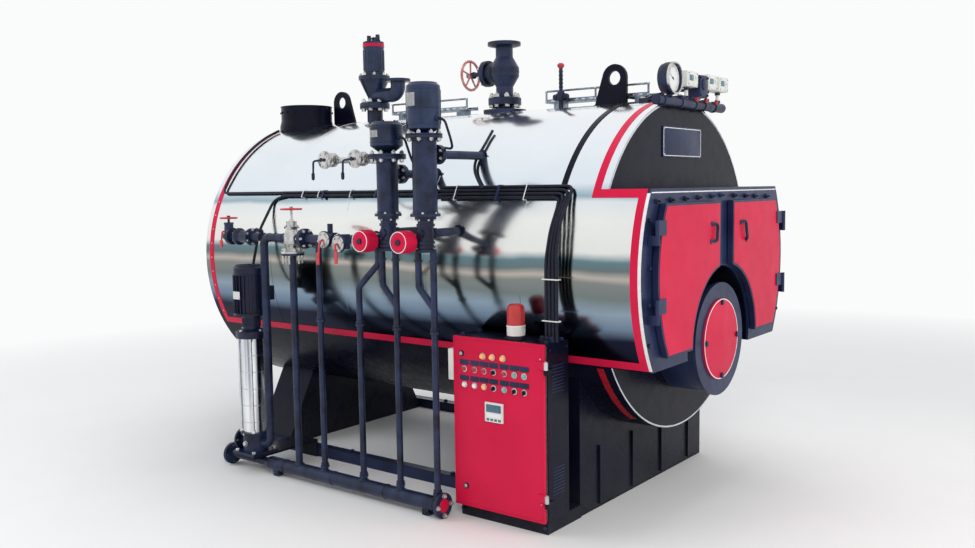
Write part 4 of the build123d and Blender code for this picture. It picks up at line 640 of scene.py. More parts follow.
addLathe(bm, [(gauge["glass"], 0), (gauge["glass"] + 0.001, 0.004), (0.0812, 0.004), (0.083, 0.001),
              (0.083, -0.009), (0.0822, -0.01)],
         (gauge["front"], gauge["y"], gauge["z"]), alongX, 56)
finishPiece("gauge_bezel", bm, "brightValve")
bm = bmesh.new()
addHexBolt(bm, (pipe["x"], gauge["y"], 2.1235), alongZ, 0.028, 0.008, False)
gland = [(0, 0), (0.013, 0), (0.013, 0.006), (0.01, 0.007), (0.01, 0.02), (0, 0.02)]
for y, half, low, high in boxes.values():
    addHexBolt(bm, (pipe["x"], y, 2.124), alongZ, 0.03, 0.014, False)
    addHexBolt(bm, (pipe["x"], y, 2.168), alongZ, 0.028, 0.014, False)
    addLathe(bm, gland, (0.353, y - half * 0.45, low + 0.018), -alongX, 20)
for y, way in pipe["ends"]:
    addHexBolt(bm, (pipe["x"], y, pipe["z"]), (0, way, 0), 0.044, 0.004, False)
for y in pipe["rings"]:
    addCollar(bm, 0.0262, 0.031, 0.014, (pipe["x"], y, pipe["z"]), alongY, 32)
finishPiece("manifold_fittings", bm, "castDark")
bm = bmesh.new()
for y, half, low, high in boxes.values():
    addBlock(bm, (0.4268, y - half + 0.005, low + 0.005), (0.4305, y + half - 0.005, high - 0.005), 0.0015)
    addStub(bm, 0.012, 0.008, (0.4305, y + half * 0.45, low + 0.052), alongX, 24, 0.003, 0.002)
    addBlock(bm, (0.366, y - half * 0.7, high - 0.0005), (0.414, y + half * 0.7, high + 0.003), 0.0012)
finishPiece("switch_covers", bm, "paleBox")
bm = bmesh.new()
for y, half, low, high in boxes.values():
    for side in (-1, 1):
        for z in (low + 0.012, high - 0.012):
            addLathe(bm, [(0, 0), (0.0035, 0), (0.003, 0.0018), (0, 0.002)],
                     (0.4304, y + side * (half - 0.012), z), alongX, 12)
    addBlock(bm, (0.4302, y - half * 0.72, low + 0.03), (0.4316, y + half * 0.05, high - 0.02), 0.0005)
finishPiece("switch_screws_and_windows", bm, "screenTeal")
bm = bmesh.new()
addBlock(bm, limiter["low"], limiter["high"], 0.002)
addStub(bm, 0.03, 0.006, (0.431, limiter["y"], 2.205), alongX, 32, 0.004, 0.002)
for z in limiter["screws"][1]:
    for y in limiter["screws"][0]:
        addHexBolt(bm, (0.431, y, z), alongX, 0.009, 0.005)
finishPiece("limiter_cover", bm, "slateGloss")
bm = bmesh.new()
for y in pipe["caps"]:
    addLathe(bm, [(0, 0), (0.009, 0), (0.011, 0.004), (0.011, 0.018), (0.007, 0.024), (0, 0.024)],
             (0.412, y, 2.112), (0.3, 0, 1), 20)
finishPiece("manifold_drain_caps", bm, "redCap")
bm = bmesh.new()
for i, (start, end) in enumerate(((-0.012, 0.02), (0.122, 0.05), (0.24, -0.05), (0.386, -0.08))):
    y, lane = start - 0.028, 0.062 + 0.012 * i
    addTube(bm, [(0.35, y, 2.202), (0.325, y, 2.2), (0.29, end, 2.16), (0.2, end, 2.137),
                 (0.12, lane - 0.002, 2.137),
                 (-0.05, lane, 2.168), (-0.12, lane, 2.17)], 0.0045, 0.03, 8)
finishPiece("instrument_cables", bm, "cableBlack")
bm = bmesh.new()
for side in (-1, 1):
    for dy in (-0.011, 0.011):
        addHexBolt(bm, (0.175, side * 0.09 + dy, 2.134), alongZ, 0.014, 0.008)
        addHexBolt(bm, (pipe["x"], side * 0.09 + dy, 2.134), alongZ, 0.012, 0.007)
finishPiece("manifold_arm_bolts", bm, "brightValve")
print("instruments are dressed")

# lifting lugs and flue: weld beads and a rolled rim
lugs = dict(feet=((-0.176, 0.029), (-2.287, -2.082)), side=0.0115, steps=34, bead=0.0045)
flue = dict(x=-2.426, y=-0.138, rim=2.24, radius=0.174, screws=16, screwZ=2.2)
bm = bmesh.new()
for start, end in lugs["feet"]:
    for side in (-1, 1):
        steps = range(lugs["steps"] + 1)
        addTube(bm, [(start + (end - start) * k / lugs["steps"], side * lugs["side"],
                      axisZ + jacketR + 0.0012 * (k % 2)) for k in steps],
                lugs["bead"], 0, 8)
finishPiece("lug_weld_beads", bm, "blackGloss")
bm = bmesh.new()
addTube(bm, circle((flue["x"], flue["y"], flue["rim"]), flue["radius"] - 0.0005, 64, alongX, alongY), 0.0045, 0, 10,
        True)
for out in circle((0, 0, 0), 1, flue["screws"], alongX, alongY):
    addHexBolt(bm, Vector((flue["x"], flue["y"], flue["screwZ"])) + out * flue["radius"], out, 0.012, 0.006)
finishPiece("flue_rim_and_screws", bm, "blackGloss")

# cable trays: slots, bar nuts and the cables that lie in them
tray = dict(runs=((-1.78, -1.132), (-0.54, 0.145)), low=2.1645, cables=5, cable=0.005, waves=14, pitch=0.05)
bm = bmesh.new()
for start, end in tray["runs"]:
    for i in range(tray["cables"]):
        wave = [(start + 0.03 + (end - start - 0.06) * k / tray["waves"],
                 0.062 + 0.013 * i + 0.0035 * sin(k * 1.9 + i),
                 tray["low"] + 0.006 + 0.0015 * sin(k * 2.3 + 2 * i)) for k in range(tray["waves"] + 1)]
        addTube(bm, wave, tray["cable"], 0, 8)
finishPiece("tray_cables", bm, "cableBlack")
bm = bmesh.new()
for start, end in tray["runs"]:
    for x in (start + 0.006, (start + end) / 2, end - 0.006):
        addLathe(bm, [(0.0062, 0), (0.009, 0.001), (0.009, 0.008), (0.0062, 0.01)], (x, 0.042, 2.164), alongZ, 16)
        addLathe(bm, [(0.0062, -0.004), (0.0085, -0.003), (0.0085, 0.004), (0.0062, 0.005)], (x, 0.042, 2.228),
                 alongZ, 16)
    for x in (start + 0.075, end - 0.075):
        for y in (0.06, 0.13):
            addHexBolt(bm, (x, y, tray["low"] - 0.0005), alongZ, 0.013, 0.007)
    count = int((end - start) / tray["pitch"])
    for k in range(1, count):
        x = start + (end - start) * k / count
        addBlock(bm, (x - 0.012, 0.0392, 2.168), (x + 0.012, 0.0402, 2.175), 0.0003)
finishPiece("tray_fixings", bm, "sheetEdge")
print("trays, lugs and flue are dressed")

# level chambers: cover flanges, bolts, tap flanges, unions and heads
chambers = {
    "rear": dict(x=-0.74, tube=0.055, foot=1.53, top=1.82, plate=0.098, lid=0.012, bolts=0.082, tap=1.745),
    "front": dict(x=-0.486, tube=0.062, foot=1.53, top=1.916, plate=0.092, lid=0.0085, bolts=0.078, tap=1.838),
}
lowTap = 1.445
for name, c in chambers.items():
    x, tube, plateR, lid, lidZ = c["x"], c["tube"], c["plate"], c["lid"], c["top"] + 0.0142
    bm = bmesh.new()
    addLathe(bm, [(0.04, 0), (plateR - 0.002, 0), (plateR, 0.002), (plateR, lid - 0.001), (plateR - 0.002, lid),
                  (0.04, lid)],
             (x, sideY, lidZ), alongZ, 48)
    addLathe(bm, [(tube, 0), (tube + 0.006, -0.001), (tube + 0.001, -0.008), (tube, -0.009)], (x, sideY, c["top"]),
             alongZ, 40)
    for z in (c["foot"] + 0.0142, c["foot"] + 0.02):
        addLathe(bm, [(tube, 0), (tube + 0.004, 0.0005), (tube + 0.003, 0.004), (tube, 0.005)], (x, sideY, z),
                 alongZ, 40)
    for z in (1.3715, 1.392, 1.48):
        addCollar(bm, 0.04, 0.046, 0.015, (x, sideY, z), alongZ, 8, 0.001, 0.002)
    addHexBolt(bm, (x, -1.1645, lowTap), -alongY, 0.04, 0.005, False)
    for z in (lowTap, c["tap"]):
        addCollar(bm, 0.022, 0.03, 0.022, (x, -1.075, z), alongY, 6, 0.001, 0.002)
        addLathe(bm, [(0.022, 0), (0.034, 0), (0.03, 0.006), (0.022, 0.008)], (x, jacketY(z, 0) - 0.006, z), alongY,
                 24)
    finishPiece("level_chamber_" + name + "_collars", bm, "castDark")
    bm = bmesh.new()
    addBoltCircle(bm, (x, sideY, lidZ + lid), alongZ, c["bolts"] * 2, 8, 0.019, 0.011, 22.5, 0.006)
    addBoltCircle(bm, (x, sideY, c["top"]), -alongZ, c["bolts"] * 2, 8, 0.019, 0.011, 22.5, 0.004)
    addBoltCircle(bm, (x, sideY, c["foot"] + 0.014), alongZ, (tube + 0.0065) * 2, 6, 0.0115, 0.007, 0)
    addBoltCircle(bm, (x, sideY, c["foot"] - 0.014), -alongZ, 0.094, 6, 0.0105, 0.006, 0)
    for tapFace, way in ((-1.034, -1), (-1.006, 1)):
        addBoltCircle(bm, (x, tapFace, c["tap"]), (0, way, 0), 0.076, 6, 0.015, 0.008, 30, 0.004)
    finishPiece("level_chamber_" + name + "_bolts", bm, "brightValve")
rearX, frontX = chambers["rear"]["x"], chambers["front"]["x"]
heads = dict(top=[(0.07, 0), (0.0702, 0.0015), (0.066, 0.003), (0, 0.0035)], shell=0.0838, gland=0.0835,
             rearTop=2.006, frontTop=2.185,
             rearGland=1.93, frontGland=2.01, label=0.0846, labelSpan=range(-128, -78, 7))
bm = bmesh.new()
addLathe(bm, heads["top"], (rearX, sideY, heads["rearTop"]), alongZ, 48)
for spot in circle((rearX, sideY, heads["rearTop"] + 0.0025), 0.058, 6, alongX, alongY):
    addHexBolt(bm, spot, alongZ, 0.01, 0.006)
addHexBolt(bm, (rearX + heads["gland"], sideY, heads["rearGland"]), alongX, 0.026, 0.012, False)
for z in (1.902, 1.972):
    addCollar(bm, heads["shell"], 0.0855, 0.005, (rearX, sideY, z), alongZ, 48)
finishPiece("rear_head_details", bm, "bluePaint")
bm = bmesh.new()
addLathe(bm, heads["top"], (frontX, sideY, heads["frontTop"]), alongZ, 48)
for z in (1.98, 2.06, 2.15):
    addCollar(bm, heads["shell"], 0.0858, 0.006, (frontX, sideY, z), alongZ, 48)
for spot in circle((frontX, sideY, 0), 0.0845, 4, alongX, alongY, 0.6):
    addTube(bm, [spot + alongZ * 1.986, spot + alongZ * 2.15], 0.003, 0, 8)
addHexBolt(bm, (frontX + heads["gland"], sideY, heads["frontGland"]), alongX, 0.026, 0.012, False)
finishPiece("front_head_details", bm, "bluePaint")
bm = bmesh.new()
for x, low, high in ((rearX, 1.93, 1.965), (frontX, 2.07, 2.135)):
    arc = [radians(a) for a in heads["labelSpan"]]
    rows = [[bm.verts.new((x + heads["label"] * cos(a), sideY + heads["label"] * sin(a),
                           z)) for a in arc] for z in (low, high)]
    for i in range(len(arc) - 1):
        bm.faces.new((rows[0][i], rows[0][i + 1], rows[1][i + 1], rows[1][i]))
bmesh.ops.solidify(bm, geom=bm.faces[:], thickness=-0.0009)
finishPiece("head_bare_labels", bm, "silverLabel")
bm = bmesh.new()
addTube(bm, [(frontX + 0.095, sideY, 2.01), (frontX + 0.135, sideY, 2.0), (frontX + 0.15, sideY + 0.03, 1.9),
             (frontX + 0.1, -1.02, 1.862),
             (frontX + 0.02, -0.99, 1.872)], 0.0065, 0.05, 10)
addTube(bm, [(rearX + 0.095, sideY, 1.93), (rearX + 0.125, sideY, 1.92), (rearX + 0.13, sideY + 0.05, 1.8),
             (rearX + 0.12, -0.9, 1.66)],
        0.0065, 0.04, 10)
addTube(bm, [(-0.522, -0.509, 1.9775), (-0.502, -0.609, 1.895), (-0.504, -0.688, 1.814), (-0.479, -0.731, 1.759),
             (-0.425, -0.768, 1.705),
             (-0.378, -0.793, 1.664)], 0.008, 0.04, 10)
finishPiece("level_head_cables", bm, "cableBlack")

# red drum wheels: rim ribs, hub plate and a white ring painted as the highlight on the rim
drums = dict(rear=-0.818, front=-0.552, y=-1.254, z=1.405, rim=0.0555, ribs=28)
for name in ("rear", "front"):
    x, z = drums[name], drums["z"]
    bm = bmesh.new()
    for spot in circle((x, drums["y"], z), drums["rim"], drums["ribs"], alongX, alongZ):
        addTube(bm, [spot + alongY * 0.01, spot + alongY * 0.072], 0.0022, 0, 6)
    addLathe(bm, [(0.012, 0), (0.018, 0.001), (0.03, 0.004), (0.046, 0.001), (0.047, 0)], (x, drums["y"], z),
             -alongY, 40)
    finishPiece("drum_" + name + "_ribs", bm, "crimsonEnamel", "drain_wheel_" + name + "_body")
    bm = bmesh.new()
    # white ring painted as the highlight on the drum's rim
    addLathe(bm, [(0.05, 0), (0.054, 0.0004), (0.054, 0.0012), (0.05, 0.0014)], (x, drums["y"], z), -alongY, 40)
    finishPiece("drum_" + name + "_painted_highlight_ring", bm, "tieWhite", "drain_wheel_" + name + "_body")
    bm = bmesh.new()
    addCollar(bm, 0.0142, 0.017, 0.012, (x + 0.028, sideY, z), alongX, 6, 0.001, 0.002)
    addCollar(bm, 0.017, 0.022, 0.012, (x, sideY, 1.368), alongZ, 6, 0.001, 0.002)
    addHexBolt(bm, (x, sideY, 1.429), alongZ, 0.026, 0.009, False)
    finishPiece("drain_valve_" + name + "_nuts", bm, "brightValve")
print("level gear is dressed")

# gauge cocks and branch valves: cover screws, levers and union nuts
covers = dict(cockRear=(-1.152, 1.827), cockFront=(-0.924, 1.827), outlet=(-1.174, 1.4), branch=(-1.064, 1.381))
cock = dict(face=-1.17, screws=0.037, reach=0.043, lever=-1.192, drop=0.098, bar=0.0055)
bm = bmesh.new()
for x, z in covers.values():
    addLathe(bm, [(0.044, 0), (0.044, 0.0015), (0.03, 0.003), (0.03, 0.006), (0.014, 0.008), (0, 0.0085)],
             (x, cock["face"], z), -alongY, 40)
    for spot in circle((x, cock["face"] - 0.0015, z), cock["screws"], 6, alongX, alongZ, 0.2):
        addHexBolt(bm, spot, -alongY, 0.011, 0.006)
for x, z in (covers["cockRear"], covers["cockFront"]):
    for side in (-1, 1):
        addCollar(bm, 0.013, 0.021, 0.016, (x + side * cock["reach"], sideY, z), (side, 0, 0), 6, 0.001, 0.002)
addCollar(bm, 0.013, 0.02, 0.016, (-0.86, sideY, 1.827), alongX, 6, 0.001, 0.002)
for x in (-1.12, -1.228):
    addCollar(bm, 0.024, 0.034, 0.016, (x, sideY, 1.4), alongX, 8, 0.001, 0.002)
finishPiece("cock_covers_and_unions", bm, "brightValve")
bm = bmesh.new()
for name, back in (("cockRear", -0.06), ("cockFront", -0.062)):
    x, z = covers[name]
    end = x + back - 0.004
    addTube(bm, [(x, -1.178, z), (x, cock["lever"], z), (x + back, cock["lever"], z - 0.006),
                 (end, cock["lever"], z - cock["drop"])],
            cock["bar"], 0.014, 10)
    addLathe(bm, [(0.0055, 0), (0.009, 0.004), (0.009, 0.03), (0.006, 0.038), (0, 0.04)],
             (end, cock["lever"], z - cock["drop"] + 0.03), -alongZ, 16)
    addLathe(bm, [(0, 0), (0.011, 0), (0.011, 0.006), (0, 0.008)], (x, -1.188, z), -alongY, 20)
finishPiece("cock_levers", bm, "castDark")
bm = bmesh.new()
for name, back, drop in (("outlet", -0.02, 0.13), ("branch", 0.01, 0.1)):
    x, z = covers[name]
    end = x + back
    addTube(bm, [(x, -1.178, z), (x, -1.19, z - 0.005), (x + back * 0.4, -1.196, z - 0.03),
                 (end, -1.196, z - drop)], 0.006, 0.012, 10)
    addBlock(bm, (end - 0.011, -1.2005, z - drop - 0.004), (end + 0.011, -1.1925, z - drop + 0.062), 0.003)
finishPiece("branch_valve_levers", bm, "wheelRed")

# feed stop valve: long studs under its base flange, bonnet bolts, wheel nut
feed = dict(x=-1.485, z=1.4, flange=1.316, circle=0.106, bonnet=1.454, pipe=0.0242,
            checkEnds=((-1.957, -1), (-1.833, 1)))
bm = bmesh.new()
addBoltCircle(bm, (feed["x"], sideY, feed["flange"] + 0.012), alongZ, feed["circle"], 6, 0.017, 0.011, 30, 0.006)
addBoltCircle(bm, (feed["x"], sideY, feed["flange"] - 0.012), -alongZ, feed["circle"], 6, 0.017, 0.011, 30, 0.035)
addLathe(bm, [(0.03, 0), (0.042, 0.001), (0.044, 0.009), (0.03, 0.011)], (feed["x"], sideY, feed["bonnet"]), alongZ,
         8)
addBoltCircle(bm, (feed["x"], sideY, 1.4655), alongZ, 0.07, 6, 0.009, 0.006, 0)
addCollar(bm, 0.0102, 0.016, 0.009, (feed["x"], sideY, 1.497), alongZ, 6)
for side, way in ((-1.39, -1), (-1.366, 1)):
    addBoltCircle(bm, (side, sideY, feed["z"]), (way, 0, 0), 0.09, 6, 0.015, 0.009, 30, 0.004)
finishPiece("feed_valve_studs", bm, "brightValve")
bm = bmesh.new()
for x, way in (*feed["checkEnds"], (-2.03, -1)):
    addBoltCircle(bm, (x, sideY, feed["z"]), (way, 0, 0), 0.08, 6, 0.013, 0.008, 0)
finishPiece("check_valve_bolts", bm, "brightValve")
bm = bmesh.new()
bead = [(feed["pipe"], 0), (0.0262, 0.0012), (0.0262, 0.0055), (feed["pipe"], 0.007)]
collar = [(feed["pipe"], 0), (0.038, 0), (0.036, 0.006), (feed["pipe"], 0.008)]
for z in (1.38, 1.25, 0.85, 0.45):
    addLathe(bm, bead, (-1.73, sideY, z), alongZ, 28)
for x in (-1.68, -1.62, -1.56):
    addLathe(bm, bead, (x, sideY, feed["z"]), alongX, 28)
for x in (-1.064, -2.095):
    addLathe(bm, collar, (x, -0.8755, feed["z"]), alongY, 28)
addHexBolt(bm, (-2.047, sideY, 1.47), alongZ, 0.05, 0.012, False)
finishPiece("feed_line_weld_beads", bm, "castDark")
bm = bmesh.new()
addTube(bm, [(-2.047, sideY + 0.02, 1.43), (-2.047, sideY - 0.05, 1.43), (-2.047, sideY - 0.058, 1.37)], 0.005,
        0.012, 10)
addBlock(bm, (-2.06, sideY - 0.0625, 1.335), (-2.034, sideY - 0.0555, 1.378), 0.002)
finishPiece("inlet_lever", bm, "wheelRed")

# drain legs and header: unions, weld rings and the blank flange
legs = dict(places=(-1.27, -0.965, -0.695, -0.44), radius=0.017, low=0.115, high=0.94, foot=0.104, header=0.067,
            joints=((-0.79, 1.3), (-0.54, 1.3), (-0.695, 1.3), (-0.44, 1.3), (-0.818, 1.345)))
bm = bmesh.new()
for x in legs["places"]:
    for z in (legs["low"], legs["high"]):
        addCollar(bm, legs["radius"], 0.025, 0.018, (x, sideY, z), alongZ, 6, 0.001, 0.002)
    for z in (legs["low"] + 0.018, legs["high"] + 0.018):
        addCollar(bm, legs["radius"], 0.022, 0.012, (x, sideY, z), alongZ, 20, 0.001, 0.002)
    addLathe(bm, [(0.017, 0), (0.027, -0.004), (0.017, 0.006)], (x, sideY, legs["foot"]), alongZ, 24)
addLathe(bm, [(0.0205, 0), (0.032, -0.006), (0.0205, 0.006)], (feed["x"], sideY, legs["foot"]), alongZ, 28)
for x, z in legs["joints"]:
    addCollar(bm, legs["radius"], 0.023, 0.014, (x, sideY, z), alongZ, 6, 0.001, 0.002)
finishPiece("drain_leg_unions", bm, "castDark")
bm = bmesh.new()
addBoltCircle(bm, (-0.4, sideY, legs["header"]), alongX, 0.1, 4, 0.02, 0.011, 0, 0.006)
finishPiece("blank_flange_bolts", bm, "brightValve")
bm = bmesh.new()
addLathe(bm, [(0, 0), (0.036, 0), (0.034, 0.004), (0, 0.005)], (-0.4, sideY, legs["header"]), alongX, 40)
finishPiece("blank_flange_boss", bm, "crimsonEnamel")
bm = bmesh.new()
for x in (-1.6, -1.2, -0.8, -0.455):
    addLathe(bm, [(0.038, 0), (0.0405, 0.0012), (0.0405, 0.005), (0.038, 0.0065)], (x, sideY, legs["header"]),
             alongX, 36)
for x in (-1.672, -0.512):
    for dx in (0.008, 0.032):
        addHexBolt(bm, (x + dx, sideY - 0.02, 0.012), -alongY, 0.01, 0.005)
finishPiece("drain_header_welds", bm, "castDark")

# feed pump: stays, flange bolts, cowl louvres, eye bolts and box cover
pump = dict(x=-1.87, low=0.24, high=0.804, stay=0.0765, rings=(0.3, 0.4, 0.5, 0.6, 0.7), foot=0.075, cowl=1.2335)
bm = bmesh.new()
for spot in circle((pump["x"], sideY, 0), pump["stay"], 4, alongX, alongY, pi / 4):
    low, high = spot + alongZ * (pump["low"] + 0.001), spot + alongZ * (pump["high"] - 0.001)
    addTube(bm, [low, high], 0.0065, 0, 14)
    addHexBolt(bm, low, alongZ, 0.021, 0.014)
    addHexBolt(bm, high, -alongZ, 0.021, 0.014)
for z in pump["rings"]:
    addCollar(bm, 0.068, 0.0695, 0.006, (pump["x"], sideY, z), alongZ, 44)
finishPiece("pump_stays", bm, "sheetEdge")
bm = bmesh.new()
for dx in (-pump["foot"], pump["foot"]):
    for dy in (-pump["foot"], pump["foot"]):
        addHexBolt(bm, (pump["x"] + dx, sideY + dy, 0.124), alongZ, 0.02, 0.012)
for spot in circle((pump["x"], sideY, 0.845), 0.078, 4, alongX, alongY):
    addHexBolt(bm, spot, alongZ, 0.016, 0.01)
addHexBolt(bm, (pump["x"], sideY - 0.072, 0.175), -alongY, 0.024, 0.012)
addHexBolt(bm, (pump["x"], sideY - 0.084, 0.233), -alongY, 0.012, 0.004, False)
finishPiece("pump_bolts", bm, "brightValve")
bm = bmesh.new()
for spot in circle((pump["x"], sideY, 0.872), 0.0525, 40, alongX, alongY):  # guard slots round the coupling
    addTube(bm, [spot, spot + alongZ * 0.052], 0.0016, 0, 6)
for radius in (0.022, 0.036, 0.05, 0.064, 0.078):
    addTube(bm, circle((pump["x"], sideY, pump["cowl"]), radius, 40, alongX, alongY), 0.002, 0, 6, True)
for out in circle((0, 0, 0), 1, 8, alongX, alongY):
    hub = Vector((pump["x"], sideY, pump["cowl"]))
    addTube(bm, [hub + out * 0.012, hub + out * 0.08], 0.002, 0, 6)
addTube(bm, circle((pump["x"], sideY, 1.186), 0.0965, 56, alongX, alongY), 0.0025, 0, 8, True)
for side in (-1, 1):
    addTube(bm, circle((pump["x"] + side * 0.092, sideY - 0.02, 0.965), 0.01, 20, alongX, alongZ), 0.0035, 0, 8,
            True)
addBlock(bm, (pump["x"] - 0.038, -0.9755, 1.021), (pump["x"] + 0.038, -0.9735, 1.097), 0.001)
finishPiece("pump_motor_details", bm, "motorNavy")
bm = bmesh.new()
addBlock(bm, (pump["x"] - 0.03, sideY - 0.1012, 1.04), (pump["x"] + 0.03, sideY - 0.0992, 1.085), 0.0006)
for dx in (-0.026, 0.026):
    for z in (1.0445, 1.0805):
        addLathe(bm, [(0, 0), (0.002, 0), (0.0018, 0.001), (0, 0.0012)], (pump["x"] + dx, sideY - 0.1012, z),
                 -alongY, 10)
finishPiece("motor_bare_plate", bm, "silverLabel")
print("pump and drains are dressed")

# cabinet door: lamps, buttons, bare label plates, controller window and locks
cabinet = dict(left=-0.385, right=0.164, low=0.066, high=0.93, lampRow=0.843, lamps=(-0.195, -0.137, -0.072),
               rows=(0.769, 0.69),
               columns=(-0.312, -0.248, -0.189, -0.130, -0.065, -0.005, 0.053), labelRows=(0.8035, 0.7235),
               label=(0.0275, 0.0128),
               locks=((-0.329, 0.846), (-0.31, 0.171)), hinges=(0.148, 0.79), hinge=(0.182, -1.052), fold=0.012)
columns, (topRow, lowRow) = cabinet["columns"], cabinet["rows"]
door = "cabinet_door_body"
bm = bmesh.new()
for x in cabinet["lamps"]:
    addLathe(bm, [(0.013, 0), (0.0125, 0.008), (0.009, 0.013), (0, 0.015)],
             (x, cabinetY - 0.004, cabinet["lampRow"]), -alongY, 28)
finishPiece("cabinet_amber_lamps", bm, "amberLens", door)
bm = bmesh.new()
for x in cabinet["lamps"]:
    addLathe(bm, [(0.0132, 0), (0.0175, 0), (0.0175, 0.003), (0.0155, 0.005), (0.0132, 0.005)],
             (x, cabinetY, cabinet["lampRow"]), -alongY, 32)
for z in cabinet["rows"]:
    for x in columns:
        addLathe(bm, [(0.011, 0), (0.0165, 0), (0.0165, 0.003), (0.0145, 0.005), (0.011, 0.005)], (x, cabinetY, z),
                 -alongY, 32)
finishPiece("cabinet_button_collars", bm, "brightValve", door)
buttons = {"redCap": [(0, topRow), (1, topRow), (2, topRow), (4, topRow)],
           "greenCap": [(5, topRow), (6, topRow), (4, lowRow)],
           "dialWhite": [(0, lowRow), (1, lowRow)], "amberLens": [(2, lowRow)]}
for finish, places in buttons.items():
    bm = bmesh.new()
    for column, z in places:
        addLathe(bm, [(0.0112, 0), (0.0112, 0.007), (0.0095, 0.009), (0.004, 0.0084), (0, 0.0084)],
                 (columns[column], cabinetY - 0.003, z), -alongY, 28)
    finishPiece("cabinet_buttons_" + finish, bm, finish, door)
bm = bmesh.new()
for column, z in ((3, topRow), (3, lowRow), (5, lowRow), (6, lowRow)):
    x = columns[column]
    addStub(bm, 0.0112, 0.008, (x, cabinetY - 0.003, z), -alongY, 28, 0.0022, 0.002)
    addBlock(bm, (x - 0.0032, cabinetY - 0.018, z - 0.0105), (x + 0.0032, cabinetY - 0.009, z + 0.0105), 0.0012)
finishPiece("cabinet_selectors", bm, "cableBlack", door)
bm = bmesh.new()
wide, tall = cabinet["label"]
for z in cabinet["labelRows"]:
    for x in columns:
        addBlock(bm, (x - wide, cabinetY - 0.0022, z - tall), (x + wide, cabinetY, z + tall), 0.0008)
finishPiece("cabinet_label_plates", bm, "slateGloss", door)
bm = bmesh.new()
addBlock(bm, (-0.18, cabinetY - 0.011, 0.522), (-0.07, cabinetY, 0.62), 0.003)
finishPiece("controller_case", bm, "paleBox", door)
bm = bmesh.new()
addBlock(bm, (-0.17, cabinetY - 0.0125, 0.572), (-0.08, cabinetY - 0.0105, 0.61), 0.0008)
for i in range(4):
    x = -0.168 + 0.0235 * i
    addBlock(bm, (x, cabinetY - 0.0125, 0.529), (x + 0.016, cabinetY - 0.0108, 0.54), 0.0006)
finishPiece("controller_window", bm, "screenTeal", door)
bm = bmesh.new()
addBlock(bm, (-0.168, cabinetY - 0.012, 0.546), (-0.082, cabinetY - 0.0108, 0.565), 0.0005)
finishPiece("controller_pale_field", bm, "dialWhite", door)
bm = bmesh.new()
for x, z in cabinet["locks"]:
    addStub(bm, 0.015, 0.005, (x, cabinetY, z), -alongY, 28, 0.002, 0.002)
finishPiece("cabinet_lock_plates", bm, "cableBlack", door)
bm = bmesh.new()
for x, z in cabinet["locks"]:
    addLathe(bm, [(0, 0), (0.0095, 0), (0.0095, 0.003), (0.006, 0.0042), (0.0045, 0.002), (0, 0.002)],
             (x, cabinetY - 0.005, z), -alongY, 24)
    addBlock(bm, (x - 0.0015, cabinetY - 0.0095, z - 0.006), (x + 0.0015, cabinetY - 0.007, z + 0.006), 0.0004)
finishPiece("cabinet_lock_barrels", bm, "brightValve", door)
bm = bmesh.new()
fold = cabinet["fold"]
low, high, left, right = cabinet["low"] + fold, cabinet["high"] - fold, cabinet["left"] + fold, cabinet["right"] - fold
y = cabinetY + 0.0005
addTube(bm, [(left, y, low), (right, y, low), (right, y, high), (left, y, high)], 0.0022, 0, 8, True)
finishPiece("cabinet_door_fold", bm, "crimsonEnamel", door)
bm = bmesh.new()
for z in (0.16, 0.83):
    for k in range(3):
        addHexBolt(bm, (0.148, cabinetY - 0.0005, z + 0.016 * k), -alongY, 0.007, 0.003, False)
finishPiece("cabinet_hinge_screws", bm, "brightValve", door)
bm = bmesh.new()
for low in cabinet["hinges"]:  # bright sleeves on the hinge pins
    addLathe(bm, [(0.0085, 0.0245), (0.0105, 0.0245), (0.0105, 0.0615), (0.0085, 0.0615)], (*cabinet["hinge"], low),
             alongZ, 24)
    addLathe(bm, [(0, 0.0622), (0.007, 0.0622), (0.006, 0.0655), (0, 0.066)], (*cabinet["hinge"], low), alongZ, 24)
finishPiece("cabinet_hinge_sleeves", bm, "brightValve", door)

# cabinet body: roof glands, seal lip, ventilation slots, side socket and lifting screws
body = dict(roof=0.93, front=-1.0215, side=0.17, bolts=(-0.36, 0.145), glands=(0.117, 0.144, 0.09), slots=9,
            slotRows=(0.19, 0.69),
            rails=(0.2, 0.34, 0.48, 0.62, 0.76), switches=8, pitch=0.056)
bm = bmesh.new()
gland = [(0.0095, 0), (0.021, 0), (0.021, 0.01), (0.017, 0.012), (0.017, 0.02), (0.012, 0.026), (0.0095, 0.026)]
for x in body["glands"]:
    addLathe(bm, gland, (x, -0.94, body["roof"]), alongZ, 8)
for x in body["bolts"]:
    for y in (-0.995, -0.86):
        addHexBolt(bm, (x, y, body["roof"]), alongZ, 0.02, 0.01)
finishPiece("cabinet_roof_glands", bm, "castDark")
bm = bmesh.new()
left, right, low, high, y = cabinet["left"] + 0.007, 0.163, 0.075, 0.921, body["front"]
addTube(bm, [(left, y, low), (right, y, low), (right, y, high), (left, y, high)], 0.0022, 0, 8, True)
finishPiece("cabinet_seal", bm, "gasketGrey")
bm = bmesh.new()
for k in range(body["slots"]):
    for low in body["slotRows"]:
        z = low + 0.016 * k
        addBlock(bm, (body["side"] - 0.0005, -0.985, z), (body["side"] + 0.0015, -0.88, z + 0.0045), 0.0008)
for z in (0.1, 0.5, 0.9):
    for y in (-1.0, -0.855):
        addHexBolt(bm, (body["side"], y, z), alongX, 0.009, 0.003, False)
finishPiece("cabinet_side_louvres", bm, "slateGloss")
bm = bmesh.new()
addBlock(bm, (-0.426, -1.038, 0.7), (-0.3855, -0.985, 0.86), 0.006)
finishPiece("cabinet_side_box", bm, "paleBox")
bm = bmesh.new()
addBlock(bm, (-0.4285, -1.032, 0.708), (-0.4255, -0.991, 0.852), 0.002)
